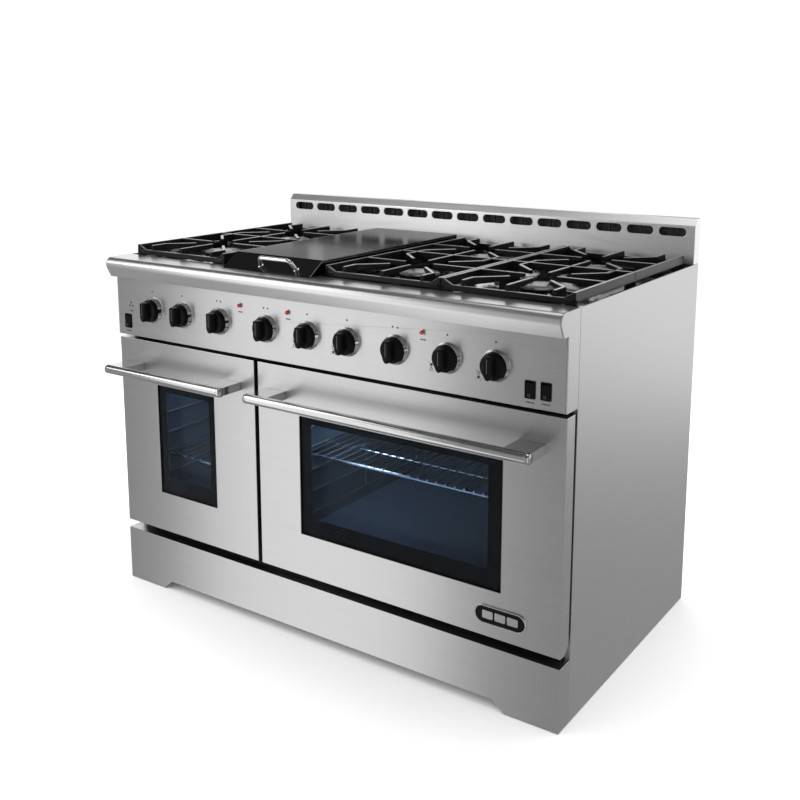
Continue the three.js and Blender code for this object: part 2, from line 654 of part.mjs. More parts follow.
function doorInnerPanel(width, windowX) {
  const inset = THIN_SHEET + GAP;
  const inside = [width[0] + inset, width[1] - inset];
  const low = DOOR_Z[0] + THIN_SHEET + GAP;
  const path = [
    [DOOR_THICKNESS - DOOR_CHAMFER + THIN_SHEET + GAP, low],
    [DOOR_THICKNESS, DOOR_Z[0] + DOOR_CHAMFER], [DOOR_THICKNESS, DOOR_Z[1] - inset]];
  const sheet = prismX(bentSheet(path, THIN_SHEET), inside);
  const opening = box(grown(windowX, GLASS_OVERLAP), [DOOR_THICKNESS - 5, DOOR_THICKNESS + 5],
    grown(WINDOW_Z, GLASS_OVERLAP));
  const lug = [
    [HINGE_Y - 7, HINGE_Z - 6], [HINGE_Y + 6, HINGE_Z - 6], [DOOR_THICKNESS - 0.6, HINGE_Z + 3],
    [DOOR_THICKNESS - 0.6, HINGE_Z + 12], [HINGE_Y - 7, HINGE_Z + 12]];
  const [leftArm, rightArm] = hingeArmsX(width);
  const lugs = [[leftArm + 9, leftArm + 17], [rightArm - 17, rightArm - 9]].map(
    (x) => prismX(lug, x));
  const bore = rod('x', HINGE_BORE_R, width, [HINGE_Y, HINGE_Z], 20);
  return cut(join(cut(sheet, opening, armNotches(width)), lugs), bore);
}

function doorHinge(width) {
  const [leftArm, rightArm] = hingeArmsX(width);
  const half = HINGE_ARM_WIDTH / 2;
  const pin = rod('x', HINGE_ROD_R, [leftArm - half, rightArm + half], [HINGE_Y, HINGE_Z], 16);
  const arms = [leftArm, rightArm].map((x) => box([x - half, x + half],
    [HINGE_Y - 5, FRAME_Y[0] - GAP],
    [HINGE_Z - HINGE_ARM_HEIGHT / 2, HINGE_Z + HINGE_ARM_HEIGHT / 2]));
  return join(pin, arms);
}

function doorHandle([left, right]) {
  const tube = rod('x', HANDLE_R, [left, right], [HANDLE_Y, HANDLE_Z], 20);
  const height = grown([HANDLE_Z, HANDLE_Z], BRACKET_HEIGHT / 2);
  const brackets = [[left, left + BRACKET_WIDTH], [right - BRACKET_WIDTH, right]].map(
    (x) => box(x, [HANDLE_Y, -GAP], height));
  return join(tube, brackets);
}

// ---------------------------------------------------------------- inside the ovens
function ovenRack({ width, z, wires }) {
  const [left, right] = width;
  const [front, back] = RACK_Y;
  const low = [z - RACK_WIRE / 2, z + RACK_WIRE / 2];
  const high = [z + 1, z + 1 + 5];
  const rails = [front, (front + back) / 2, back - RACK_WIRE].map(
    (y) => box(width, [y, y + RACK_WIRE], low));
  const edges = [[left, left + RACK_WIRE], [right - RACK_WIRE, right]].map(
    (x) => box(x, RACK_Y, low));
  const pitch = (right - left - RACK_WIRE) / (wires + 1);
  const runners = Array.from({ length: wires }, (_, i) => {
    const x = left + RACK_WIRE / 2 + pitch * (i + 1);
    return box([x - 2.2, x + 2.2], [front - 3, back - 1], high);
  });
  return join(rails, edges, runners);
}

function sector(radius, width, from, to) {
  const shape = new THREE.Shape();
  shape.absarc(FAN.x, FAN.z, radius + width / 2, from, to, false);
  shape.absarc(FAN.x, FAN.z, radius - width / 2, to, from, true);
  return shape;
}

function fanCover() {
  const [width, height] = FAN_COVER.size;
  const outer = box(grown([FAN.x, FAN.x], width / 2), [FAN_COVER.y, CAVITY_BACK_Y - GAP],
    grown([FAN.z, FAN.z], height / 2));
  const hollow = box(grown([FAN.x, FAN.x], width / 2 - THIN_SHEET),
    [FAN_COVER.y + THIN_SHEET, CAVITY_BACK_Y + 5], grown([FAN.z, FAN.z], height / 2 - THIN_SHEET));
  const slots = [32, 52, 72].flatMap((radius) => [0, 1, 2, 3].map((quarter) => prismY(
    sector(radius, 8, quarter * Math.PI / 2 + 0.2, (quarter + 1) * Math.PI / 2 - 0.2),
    [FAN_COVER.y - 5, FAN_COVER.y + 5])));
  return cut(outer, hollow, slots);
}

function convectionFan() {
  const hub = rod('y', 16, [568, 592], [FAN.x, FAN.z]);
  const disc = rod('y', FAN.r, [590, 592], [FAN.x, FAN.z], 24);
  const reach = [12, FAN.r - 4];
  const blade = new THREE.BoxGeometry(reach[1] - reach[0], 18, 1.5);
  const blades = Array.from({ length: 8 }, (_, i) => {
    const copy = blade.clone();
    copy.translate((reach[0] + reach[1]) / 2, 0, 0);
    copy.rotateY(i * Math.PI / 4);
    copy.translate(FAN.x, 582, FAN.z);
    return toSolid(copy);
  });
  return join(hub, disc, blades);
}

// ---------------------------------------------------------------- assembly
add('left_side_panel', sidePanel(-1), 'steel');
add('right_side_panel', sidePanel(1), 'steel');
add('back_panel', backPanel(), 'zinc');
add('base_pan', basePan(), 'zinc');
add('kick_plate', kickPlate(), 'steel');
for (const [row, y] of Object.entries(LEG_Y)) {
  add(`leveling_leg_${row}_left`, levelingLeg(-1, y), 'zinc');
  add(`leveling_leg_${row}_right`, levelingLeg(1, y), 'zinc');
}
add('front_frame', frontFrame(), 'enamel');
add('small_oven_liner', ovenLiner(SMALL_CAVITY_X), 'liner');
add('large_oven_liner', ovenLiner(LARGE_CAVITY_X), 'liner');

add('left_end_cap', endCap(-1), 'steel');
add('right_end_cap', endCap(1), 'steel');
add('bullnose_trim', bullnoseTrim(), 'steel');
add('cooktop_tray', cooktopTray(), 'enamel');
add('backguard', backguard(), 'steel');
for (const centre of burnerCentres()) {
  add(centre.name, burner(centre), 'castIron');
}
for (const [place, x] of Object.entries(GRATE_X)) {
  add(`grate_${place}`, grate(x), 'castIron');
}
add('griddle_plate', griddlePlate(), 'castIron');
add('griddle_cover', griddleCover(), 'blackSteel');
add('griddle_cover_handle', coverHandle(), 'polished');

add('control_panel', controlPanel(), 'steel');
add('gas_manifold', gasManifold(), 'brass');
for (const [name, x] of KNOBS) {
  add(name, knob(x), 'knob');
}
for (const [name, x] of LAMPS) {
  add(name, lamp(x), 'lamp');
}
for (const [name, x, z] of ROCKERS) {
  add(name, rocker(x, z), 'knob');
}

for (const [side, { width, windowX, handleX }] of Object.entries(DOORS)) {
  add(`${side}_door_skin`, doorSkin(width, windowX), 'steel');
  add(`${side}_door_glass`, doorGlass(windowX), 'glass');
  add(`${side}_door_inner_panel`, doorInnerPanel(width, windowX), 'enamel');
  add(`${side}_door_handle`, doorHandle(handleX), 'steel');
  add(`${side}_door_hinge`, doorHinge(width), 'zinc');
}
for (const [name, rack] of Object.entries(RACKS)) {
  add(name, ovenRack(rack), 'wire');
}
add('fan_cover', fanCover(), 'liner');
add('convection_fan', convectionFan(), 'zinc');

const HANDLE_FRONT_Y = HANDLE_Y - HANDLE_R;
range.position.y = -(HANDLE_FRONT_Y + BACK_Y) / 2;

export default range;
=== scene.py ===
import math

import bmesh
import bpy
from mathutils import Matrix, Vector

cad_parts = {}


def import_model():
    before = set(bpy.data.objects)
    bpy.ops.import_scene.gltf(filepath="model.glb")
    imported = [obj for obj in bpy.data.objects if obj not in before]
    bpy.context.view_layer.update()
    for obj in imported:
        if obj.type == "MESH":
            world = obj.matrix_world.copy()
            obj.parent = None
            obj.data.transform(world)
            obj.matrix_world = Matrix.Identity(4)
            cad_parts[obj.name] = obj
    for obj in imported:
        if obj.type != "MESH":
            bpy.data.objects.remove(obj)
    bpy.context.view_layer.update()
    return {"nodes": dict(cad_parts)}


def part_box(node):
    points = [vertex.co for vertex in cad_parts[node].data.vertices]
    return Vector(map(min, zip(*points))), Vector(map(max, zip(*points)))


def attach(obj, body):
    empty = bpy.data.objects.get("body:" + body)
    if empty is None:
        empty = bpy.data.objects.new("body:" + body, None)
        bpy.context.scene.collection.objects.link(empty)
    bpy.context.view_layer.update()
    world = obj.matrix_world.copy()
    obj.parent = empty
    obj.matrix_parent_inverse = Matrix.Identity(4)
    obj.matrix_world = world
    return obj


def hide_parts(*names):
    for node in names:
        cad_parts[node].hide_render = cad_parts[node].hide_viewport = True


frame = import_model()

# Looks of a freestanding gas range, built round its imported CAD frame.
# Lengths are millimetres: X to the right, Y back from the door face, Z up from the floor.
# A mesh is turned into metres of the row frame in one place, to_row().

# ---------------------------------------------------------------- driving dimensions
MM = 0.001
FACE_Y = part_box("left_door_skin")[0].y      # the door face in the row frame, metres

SHEET = 1.5
THIN_SHEET = 1.2              # liners and the cooktop tray
NOSE_EDGE = (44.6, 838)       # where the bullnose meets the worktop
NOSE_CENTRE = (-18, 821.5)
NOSE_R = 16.5
NOSE_END_DEGREES = 204
NOSE_LIP = (-21, 791)
NOSE_RETURN_Y = 12            # end of the fold behind the lip
PANEL_Y = -2.5
PANEL_Z = (645.5, 791)
LEG_NUT_Z = (112, 122)

BEZEL_R = 31.7
BEZEL_INNER_R = 27.4
BEZEL_DEPTH = 9
KNOB_DISC_R = 26.4
KNOB_FACE_STAND = 19          # from the panel to the face of the disc
SPINDLE_R = 4
POINTER_SIZE = (1.3, 28)
KNOB_BLADE = (19, 47)
MARK_Z = 762
LABEL_THICK = 0.3
ROCKER_CLEAR = 1.6            # keeps a pressed rocker inside its frame

FRIT_LARGE = ((-4, 441), (297, 515))        # clear part of the large window
FRIT_SMALL = ((-458, -314), (297, 515))
INNER_PANE_Y = (29.5, 33)
INNER_RIM_Y = (35.1, 36.6)
HANDLE_R = 11
BRACKET_WIDTH = 60
BRACKET_HEIGHT = 19

BOWL_R = 82
BOWL_DEPTH = 8
BURNER_NECK_R = 27
BURNER_NECK_HEIGHT = 26
PORT_COUNT = 36
GRATE_BAR = 9
GRATE_FINGER_DROP = 16
GRATE_FINGER_TIP_DROP = 9
GRATE_FOOT = 24
GRATE_END_DROP = 12           # the end bars lie this far below the top
GRATE_CORNER = 26             # from the side of a grate to where its end bar is low
SIDE_BAR_DROP = 20
FINGER_CLEAR = 36
FINGER_TIP = 46
FINGER_BEND = 100

VENT_COUNT = 15
VENT_PITCH = 79
VENT_Z = 912

BADGE_CENTRE = (475.5, 205)
BADGE_SIZE = (116, 39)
BADGE_BAR_SIZE = (24, 17)
BADGE_BAR_PITCH = 28

STUD_R = 1.8
RAIL_R = 2
GUIDE_R = 2.2
GUIDE_STEP = 52

CAMERA_PLACE = (1.3875, -1.9794, 1.2044)
CAMERA_YAW = 34.55
CAMERA_PITCH = -10.2
CAMERA_LENS = 46.57
CAMERA_SHIFT_Y = -0.1375

KNOBS = ["knob_left_rear", "knob_left_front", "knob_small_oven", "knob_griddle", "knob_middle_rear",
         "knob_middle_front", "knob_large_oven", "knob_right_rear", "knob_right_front"]
OVEN_KNOBS = ("knob_small_oven", "knob_griddle", "knob_large_oven")
LAMPS = ("lamp_small_oven", "lamp_griddle", "lamp_large_oven")
SWITCHES = ("switch_small_oven_light", "switch_large_oven_fan", "switch_large_oven_light")
BODY = "range_body"


# ---------------------------------------------------------------- places
def to_row(point):
    """A point in millimetres from the door face, as metres in the row frame."""
    x, y, z = point
    return (x * MM, FACE_Y + y * MM, z * MM)


def span(node):
    """Lowest and highest corner of a CAD node, in millimetres from the door face."""
    corners = []
    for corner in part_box(node):
        corners.append(Vector((corner.x, corner.y - FACE_Y, corner.z)) / MM)
    return corners


def middle(node):
    low, high = span(node)
    return (low + high) / 2


# ---------------------------------------------------------------- shapes: (points, faces)
def block(x, y, z):
    points = [(a, b, c) for a in x for b in y for c in z]
    faces = [(0, 1, 3, 2), (4, 6, 7, 5), (0, 4, 5, 1), (2, 3, 7, 6), (0, 2, 6, 4), (1, 5, 7, 3)]
    return points, faces


def lift(axis, a, b, along):
    """A point from its two coordinates across an axis and the one along it."""
    if axis == "x":
        return (along, a, b)
    if axis == "y":
        return (a, along, b)
    return (a, b, along)


def loft(rings, closed=True):
    """Skin over rings that have the same number of points; closed adds a cap at each end."""
    count = len(rings[0])
    points = [point for ring in rings for point in ring]
    faces = []
    for r in range(len(rings) - 1):
        for i in range(count):
            j = (i + 1) % count
            faces.append((r * count + i, r * count + j, (r + 1) * count + j, (r + 1) * count + i))
    if closed:
        faces.append(tuple(range(count)))
        faces.append(tuple(range(len(points) - count, len(points))))
    return points, faces


def prism(outline, axis, ends):
    return loft([[lift(axis, a, b, end) for a, b in outline] for end in ends])


def circle(centre, radius, steps=48):
    a, b = centre
    turns = [2 * math.pi * i / steps for i in range(steps)]
    return [(a + radius * math.cos(t), b + radius * math.sin(t)) for t in turns]


def turned(profile, axis, centre, steps=48):
    """Lathe from (radius, place along the axis) pairs; the first and last are capped."""
    rings = []
    for radius, along in profile:
        ring = circle(centre, max(radius, 0.02), steps)
        rings.append([lift(axis, a, b, along) for a, b in ring])
    return loft(rings)


def ring(profile, axis, centre, steps=48):
    """Lathe from a closed (radius, place) profile, open in the middle."""
    rings = []
    for radius, along in list(profile) + [profile[0]]:
        rings.append([lift(axis, a, b, along) for a, b in circle(centre, radius, steps)])
    return loft(rings, closed=False)


def rounded_rectangle(centre, size, radius, steps=6):
    a, b = centre
    half_width, half_height = size[0] / 2 - radius, size[1] / 2 - radius
    outline = []
    for quarter, (side, up) in enumerate(((1, 1), (-1, 1), (-1, -1), (1, -1))):
        for i in range(steps + 1):
            t = math.pi / 2 * (quarter + i / steps)
            outline.append((a + side * half_width + radius * math.cos(t),
                            b + up * half_height + radius * math.sin(t)))
    return outline


def frame_plate(outer, inner, axis, ends):
    """Plate between two outlines with the same number of points, such as a switch frame."""
    front, back = ends
    rings = [[lift(axis, a, b, along) for a, b in outline]
             for outline, along in ((outer, front), (outer, back), (inner, back), (inner, front),
                                    (outer, front))]
    return loft(rings, closed=False)


def arc(centre, radius, start, end, steps):
    a, b = centre
    turns = [math.radians(start + (end - start) * i / steps) for i in range(steps + 1)]
    return [(a + radius * math.cos(t), b + radius * math.sin(t)) for t in turns]


def tube(path, radius, sides=16):
    """Round bar along points in space."""
    path = [Vector(p) for p in path]
    rings = []
    across = None
    for i, point in enumerate(path):
        along = (path[min(i + 1, len(path) - 1)] - path[max(i - 1, 0)]).normalized()
        if across is None:
            across = along.orthogonal().normalized()
        across = (across - along * across.dot(along)).normalized()
        up = along.cross(across)
        turns = [2 * math.pi * k / sides for k in range(sides)]
        rings.append([tuple(point + across * radius * math.cos(t) + up * radius * math.sin(t))
                      for t in turns])
    return loft(rings)


def beam(start, end, width, drop_start, drop_end):
    """Cast bar between two points of its top edge; its depth may change along it."""
    start, end = Vector(start), Vector(end)
    along = end - start
    side = Vector((-along.y, along.x, 0)).normalized() * width / 2
    rings = []
    for point, drop in ((start, drop_start), (end, drop_end)):
        low = Vector((0, 0, drop))
        narrow = side * 0.8
        rings.append([tuple(point + narrow), tuple(point - narrow),
                      tuple(point - side - low), tuple(point + side - low)])
    return loft(rings)


def bend(a, corner, b, radius, steps=8):
    """Points from near a to near b round a corner."""
    a, corner, b = Vector(a), Vector(corner), Vector(b)
    start = corner + (a - corner).normalized() * radius
    end = corner + (b - corner).normalized() * radius
    points = []
    for i in range(steps + 1):
        t = i / steps
        points.append((1 - t) ** 2 * start + 2 * t * (1 - t) * corner + t ** 2 * end)
    return points


# ---------------------------------------------------------------- pieces
def add_bevel(o, width, segments=2):
    bevel = o.modifiers.new("bevel", "BEVEL")
    bevel.width = width * MM
    bevel.segments = segments
    bevel.limit_method = "ANGLE"
    bevel.angle_limit = math.radians(32)
    bevel.use_clamp_overlap = True


def piece(name, parts, material, body, stands_for=(), bevel=0, segments=2, crease=35):
    """One named mesh that rides on a body."""
    points, faces = [], []
    for part_points, part_faces in parts:
        start = len(points)
        points.extend(to_row(p) for p in part_points)
        faces.extend([start + i for i in face] for face in part_faces)
    mesh = bpy.data.meshes.new(name)
    mesh.from_pydata(points, [], faces)
    work = bmesh.new()
    work.from_mesh(mesh)
    bmesh.ops.remove_doubles(work, verts=work.verts, dist=1e-6)
    bmesh.ops.recalc_face_normals(work, faces=work.faces)
    work.to_mesh(mesh)
    work.free()
    mesh.polygons.foreach_set("use_smooth", [True] * len(mesh.polygons))
    mesh.set_sharp_from_angle(angle=math.radians(crease))
    mesh.materials.append(material)
    o = bpy.data.objects.new(name, mesh)
    bpy.context.scene.collection.objects.link(o)
    if bevel:
        add_bevel(o, bevel, segments)
        o.modifiers["bevel"].harden_normals = True
    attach(o, body)
    if stands_for:
        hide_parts(*stands_for)


def finish_node(node, material, bevel=0.8):
    """Gives a CAD node that stays its material and softens its edges."""
    o = frame["nodes"][node]
    o.data.materials.clear()
    o.data.materials.append(material)
    if bevel:
        weld = o.modifiers.new("weld", "WELD")
        weld.merge_threshold = 1e-5
        add_bevel(o, bevel)


# ---------------------------------------------------------------- material helpers
class Paint:
    """A principled material with short ways to add its textures."""

    def __init__(self, name, color, roughness, metallic=0.0):
        self.material = bpy.data.materials.new(name)
        self.material.use_nodes = True
        self.tree = self.material.node_tree
        self.shader = self.tree.nodes["Principled BSDF"]
        self.shader.inputs["Base Color"].default_value = (*color, 1)
        self.shader.inputs["Roughness"].default_value = roughness
        self.shader.inputs["Metallic"].default_value = metallic
        self.place = self.tree.nodes.new("ShaderNodeTexCoord").outputs["Object"]

    def set(self, **sockets):
        for name, value in sockets.items():
            self.shader.inputs[name.replace("_", " ").title().replace("Ior", "IOR")].default_value = value

    def noise(self, scale, detail=3.0, rough=0.5):
        """Noise whose grain is set by its scale along X, Y and Z."""
        mapping = self.tree.nodes.new("ShaderNodeMapping")
        mapping.inputs["Scale"].default_value = scale
        self.tree.links.new(self.place, mapping.inputs["Vector"])
        noise = self.tree.nodes.new("ShaderNodeTexNoise")
        noise.inputs["Scale"].default_value = 1
        noise.inputs["Detail"].default_value = detail
        noise.inputs["Roughness"].default_value = rough
        self.tree.links.new(mapping.outputs["Vector"], noise.inputs["Vector"])
        return noise.outputs["Fac"]

    def cells(self, scale):
        voronoi = self.tree.nodes.new("ShaderNodeTexVoronoi")
        voronoi.inputs["Scale"].default_value = scale
        self.tree.links.new(self.place, voronoi.inputs["Vector"])
        return voronoi

    def color_from(self, value, low, high, start=0.3, end=0.7):
        ramp = self.tree.nodes.new("ShaderNodeValToRGB")
        ramp.color_ramp.elements[0].position = start
        ramp.color_ramp.elements[0].color = (*low, 1)
        ramp.color_ramp.elements[1].position = end
        ramp.color_ramp.elements[1].color = (*high, 1)
        self.tree.links.new(value, ramp.inputs["Fac"])
        self.tree.links.new(ramp.outputs["Color"], self.shader.inputs["Base Color"])

    def roughness_from(self, value, low, high):
        spread = self.tree.nodes.new("ShaderNodeMapRange")
        spread.inputs["From Min"].default_value = 0.3
        spread.inputs["From Max"].default_value = 0.7
        spread.inputs["To Min"].default_value = low
        spread.inputs["To Max"].default_value = high
        self.tree.links.new(value, spread.inputs["Value"])
        self.tree.links.new(spread.outputs["Result"], self.shader.inputs["Roughness"])

    def upward(self):
        """1 on faces that look up, 0 on walls and undersides."""
        normal = self.tree.nodes.new("ShaderNodeTexCoord").outputs["Normal"]
        split = self.tree.nodes.new("ShaderNodeSeparateXYZ")
        self.tree.links.new(normal, split.inputs["Vector"])
        return split.outputs["Z"]

    def shine_from(self, value, low, high):
        spread = self.tree.nodes.new("ShaderNodeMapRange")
        spread.inputs["From Min"].default_value = 0.4
        spread.inputs["From Max"].default_value = 0.95
        spread.inputs["To Min"].default_value = low
        spread.inputs["To Max"].default_value = high
        self.tree.links.new(value, spread.inputs["Value"])
        self.tree.links.new(spread.outputs["Result"], self.shader.inputs["Specular IOR Level"])

    def bump_from(self, value, strength, distance):
        """Raises the surface by a distance in millimetres where the value is 1."""
        bump = self.tree.nodes.new("ShaderNodeBump")
        bump.inputs["Strength"].default_value = strength
        bump.inputs["Distance"].default_value = distance * MM
        self.tree.links.new(value, bump.inputs["Height"])
        self.tree.links.new(bump.outputs["Normal"], self.shader.inputs["Normal"])


def grey(value):
    return (value, value, value)


def brushed_steel(name, value, grain, roughness, anisotropic):
    """Sheet steel with a long fine grain; grain is the noise scale along X, Y and Z."""
    paint = Paint(name, grey(value), roughness, 1.0)
    paint.set(anisotropic=anisotropic, anisotropic_rotation=0.25)
    streaks = paint.noise(grain, 4.0, 0.6)
    paint.color_from(streaks, grey(value * 0.95), grey(value * 1.05))
    paint.roughness_from(streaks, roughness * 0.94, roughness * 1.06)
    paint.bump_from(streaks, 0.03, 0.05)
    return paint.material


def nose_steel():
    """Satin steel for the rounded front edge, with a barely visible grain along it."""
    paint = Paint("nose_steel", grey(0.56), 0.27, 1.0)
    streaks = paint.noise((2, 260, 260), 1.0)
    paint.color_from(streaks, grey(0.55), grey(0.57))
    paint.roughness_from(streaks, 0.29, 0.31)
    return paint.material


def polished_steel():
    paint = Paint("polished_steel", grey(0.6), 0.15, 1.0)
    smudges = paint.noise((9, 9, 9), 4.0)
    paint.color_from(smudges, grey(0.57), grey(0.63))
    paint.roughness_from(smudges, 0.13, 0.18)
    return paint.material


def handle_steel():
    paint = Paint("handle_steel", grey(0.48), 0.15, 1.0)
    rings = paint.noise((900, 60, 60), 2.0)
    paint.color_from(rings, grey(0.45), grey(0.51))
    paint.roughness_from(rings, 0.13, 0.18)
    return paint.material


def chrome():
    paint = Paint("chrome", grey(0.6), 0.1, 1.0)
    smudges = paint.noise((40, 40, 40), 3.0)
    paint.color_from(smudges, grey(0.56), grey(0.66))
    paint.roughness_from(smudges, 0.08, 0.14)
    return paint.material


def black_enamel():
    paint = Paint("black_enamel", grey(0.006), 0.12)
    paint.set(coat_weight=0.6, coat_roughness=0.05)
    flecks = paint.noise((700, 700, 700), 2.0)
    paint.color_from(flecks, grey(0.004), grey(0.012), 0.45, 0.75)
    paint.bump_from(paint.noise((30, 30, 30), 2.0), 0.05, 0.4)
    return paint.material


def cast_iron(name, top):
    """Black enamelled iron; top is the lighter grey painted on the faces that look up, a painted
    highlight.
    """
    paint = Paint(name, grey(0.006), 0.28)
    grit = paint.noise((1100, 1100, 1100), 3.0)
    # Faces that look up are painted lighter: a painted highlight.
    paint.color_from(paint.upward(), grey(0.006), grey(top), 0.8, 0.98)
    paint.set(ior=2.3)
    paint.shine_from(paint.upward(), 0.04, 1.0)
    paint.roughness_from(grit, 0.24, 0.34)
    paint.bump_from(grit, 0.15, 0.12)
    return paint.material


def burner_metal():
    paint = Paint("burner_metal", grey(0.03), 0.4, 0.6)
    wear = paint.noise((120, 120, 120), 4.0)
    paint.color_from(wear, grey(0.02), grey(0.06))
    paint.roughness_from(wear, 0.3, 0.5)
    return paint.material


def dark_steel():
    paint = Paint("dark_steel", grey(0.11), 0.13, 1.0)
    paint.set(specular_tint=(0.22, 0.22, 0.22, 1), anisotropic=0.3, anisotropic_rotation=0.25)
    streaks = paint.noise((8, 500, 500), 3.0)
    paint.color_from(streaks, grey(0.1), grey(0.12))
    paint.roughness_from(streaks, 0.11, 0.16)
    return paint.material


def oven_enamel():
    paint = Paint("oven_enamel", (0.05, 0.065, 0.09), 0.45)
    flecks = paint.noise((420, 420, 420), 2.0)
    paint.color_from(flecks, (0.036, 0.048, 0.07), (0.045, 0.06, 0.085))
    paint.roughness_from(flecks, 0.4, 0.5)
    return paint.material


def black_plastic():
    paint = Paint("black_plastic", grey(0.003), 0.3)
    paint.set(specular_ior_level=0.08)
    grit = paint.noise((900, 900, 900), 2.0)
    paint.color_from(grit, grey(0.002), grey(0.004))
    paint.roughness_from(grit, 0.26, 0.36)
    paint.bump_from(grit, 0.08, 0.1)
    return paint.material


def red_lens():
    paint = Paint("red_lens", (0.45, 0.012, 0.012), 0.12)
    paint.set(coat_weight=1.0, coat_roughness=0.03)
    facets = paint.cells(700)
    paint.color_from(facets.outputs["Distance"], (0.6, 0.02, 0.015), (0.22, 0.004, 0.004), 0.0, 0.8)
    return paint.material


def window_glass(name, color, roughness):
    paint = Paint(name, color, roughness)
    paint.set(transmission_weight=1.0, ior=1.15, specular_ior_level=0.05)
    haze = paint.noise((6, 6, 6))
    paint.roughness_from(haze, roughness, roughness * 1.1)
    return paint.material


def window_frit():
    paint = Paint("window_frit", grey(0.002), 0.3)
    paint.set(specular_ior_level=0.02)
    paint.color_from(paint.noise((300, 300, 300)), grey(0.0015), grey(0.003))
    return paint.material


def wire_plating(name, value, roughness):
    """Bluish bright plating; value is how much of the light it returns. A low value gives a dark copy
    painted as shade.
    """
    paint = Paint(name, (value * 0.9, value * 0.96, value), roughness, 1.0)
    tint = paint.noise((60, 60, 60))
    paint.color_from(tint, (value * 0.82, value * 0.9, value * 0.98), (value * 0.94, value, value))
    paint.roughness_from(tint, roughness * 0.8, roughness * 1.3)
    return paint.material


def zinc_plate():
    paint = Paint("zinc_plate", grey(0.5), 0.42, 1.0)
    spangle = paint.cells(45)
    paint.color_from(spangle.outputs["Color"], (0.42, 0.43, 0.45), (0.58, 0.59, 0.6), 0.1, 0.9)
    paint.roughness_from(paint.noise((90, 90, 90)), 0.36, 0.5)
    return paint.material


def brass():
    paint = Paint("brass", (0.5, 0.36, 0.16), 0.3, 1.0)
    patina = paint.noise((70, 70, 70), 4.0)
    paint.color_from(patina, (0.4, 0.28, 0.12), (0.56, 0.42, 0.2))
    paint.roughness_from(patina, 0.24, 0.4)
    return paint.material


def ink():
    paint = Paint("ink", grey(0.02), 0.5)
    paint.color_from(paint.noise((2000, 2000, 2000)), grey(0.012), grey(0.03))
    return paint.material


def pointer_grey():
    paint = Paint("pointer_grey", grey(0.05), 0.4)
    paint.color_from(paint.noise((900, 900, 900)), grey(0.04), grey(0.07))
    return paint.material


def gasket_cord():
    paint = Paint("gasket_cord", grey(0.06), 0.85)
    weave = paint.noise((500, 500, 500), 2.0)
    paint.color_from(weave, grey(0.03), grey(0.1))
    paint.bump_from(weave, 0.6, 0.8)
    return paint.material


STEEL = brushed_steel("brushed_steel", 0.45, (4, 4, 700), 0.3, 0.55)
NOSE_STEEL = nose_steel()
# The front's brushed steel painted lighter for the backguard: painted light.
GUARD_STEEL_PAINTED_LIGHTER = brushed_steel("guard_steel_painted_lighter", 0.7, (4, 4, 600), 0.42, 0.4)
SIDE_STEEL = brushed_steel("side_steel", 0.5, (5, 5, 500), 0.42, 0.3)
POLISHED = polished_steel()
HANDLE = handle_steel()
CHROME = chrome()
ENAMEL = black_enamel()
IRON = cast_iron("cast_iron", 0.012)
# Grate iron whose upward faces are painted a lighter grey as a painted highlight.
IRON_PAINTED_TOP_HIGHLIGHT = cast_iron("iron_painted_top_highlight", 0.13)
BURNER = burner_metal()
DARK_STEEL = dark_steel()
LINER = oven_enamel()
PLASTIC = black_plastic()
LENS = red_lens()
GLASS = window_glass("window_glass", (0.62, 0.72, 0.84), 0.015)
INNER_GLASS = window_glass("inner_glass", (0.85, 0.9, 0.95), 0.02)
FRIT = window_frit()
WIRE = wire_plating("rack_wire", 0.85, 0.18)
# The rack plating painted near black: painted shade on the runners.
WIRE_PAINTED_SHADE = wire_plating("rack_runner_painted_shade", 0.05, 0.4)
ZINC = zinc_plate()
BRASS = brass()
INK = ink()
POINTER = pointer_grey()
GASKET = gasket_cord()


# ---------------------------------------------------------------- cabinet
def cabinet():
    for node in ("left_side_panel", "right_side_panel"):
        finish_node(node, SIDE_STEEL, 1.0)
    for node in ("kick_plate", "control_panel"):
        finish_node(node, STEEL, 0.8)
    for node in ("back_panel", "base_pan"):
        finish_node(node, ZINC, 0.5)
    for row in ("front", "rear"):
        for side in ("left", "right"):
            levelling_foot(f"leveling_leg_{row}_{side}")
    finish_node("front_frame", ENAMEL, 0.5)
    finish_node("gas_manifold", BRASS, 0.8)
    for node in ("small_oven_liner", "large_oven_liner"):
        finish_node(node, LINER, 0.5)


def levelling_foot(node):
    """Threaded stem with a hexagon nut over a round pad."""
    low, high = span(node)
    centre = ((low.x + high.x) / 2, (low.y + high.y) / 2)
    pad = turned([(0, 0), (20, 0), (22, 1.5), (22, 5), (20, 6.5), (10, 8), (0, 8)], "z", centre)
    threads = [(0, 6)]
    z = 8.0
    while z < high.z - 1:
        threads.append((9, z))
        threads.append((7.9, z + 1.1))
        z += 2.2
    threads.append((0, high.z))
    nut = prism(circle(centre, 15, 6), "z", LEG_NUT_Z)
    piece(f"{node}_screw", [pad, turned(threads, "z", centre, 24), nut], ZINC, BODY,
          [node], 0.5)


def nose_path():
    """Outer line of the bullnose in (Y, Z), from the worktop edge to its lip."""
    return [NOSE_EDGE] + arc(NOSE_CENTRE, NOSE_R, 90, NOSE_END_DEGREES, 36) + [NOSE_LIP]


def inner_path(path, thickness):
    """The line at a distance to the left of a path."""
    inside = []
    for i, (a, b) in enumerate(path):
        before = Vector(path[i]) - Vector(path[i - 1]) if i else None
        after = Vector(path[i + 1]) - Vector(path[i]) if i + 1 < len(path) else None
        normals = [Vector((-d.y, d.x)).normalized() for d in (before, after) if d is not None]
        total = sum(normals, Vector((0, 0)))
        scale = thickness * len(normals) / total.length_squared
        inside.append((a + total.x * scale, b + total.y * scale))
    return inside


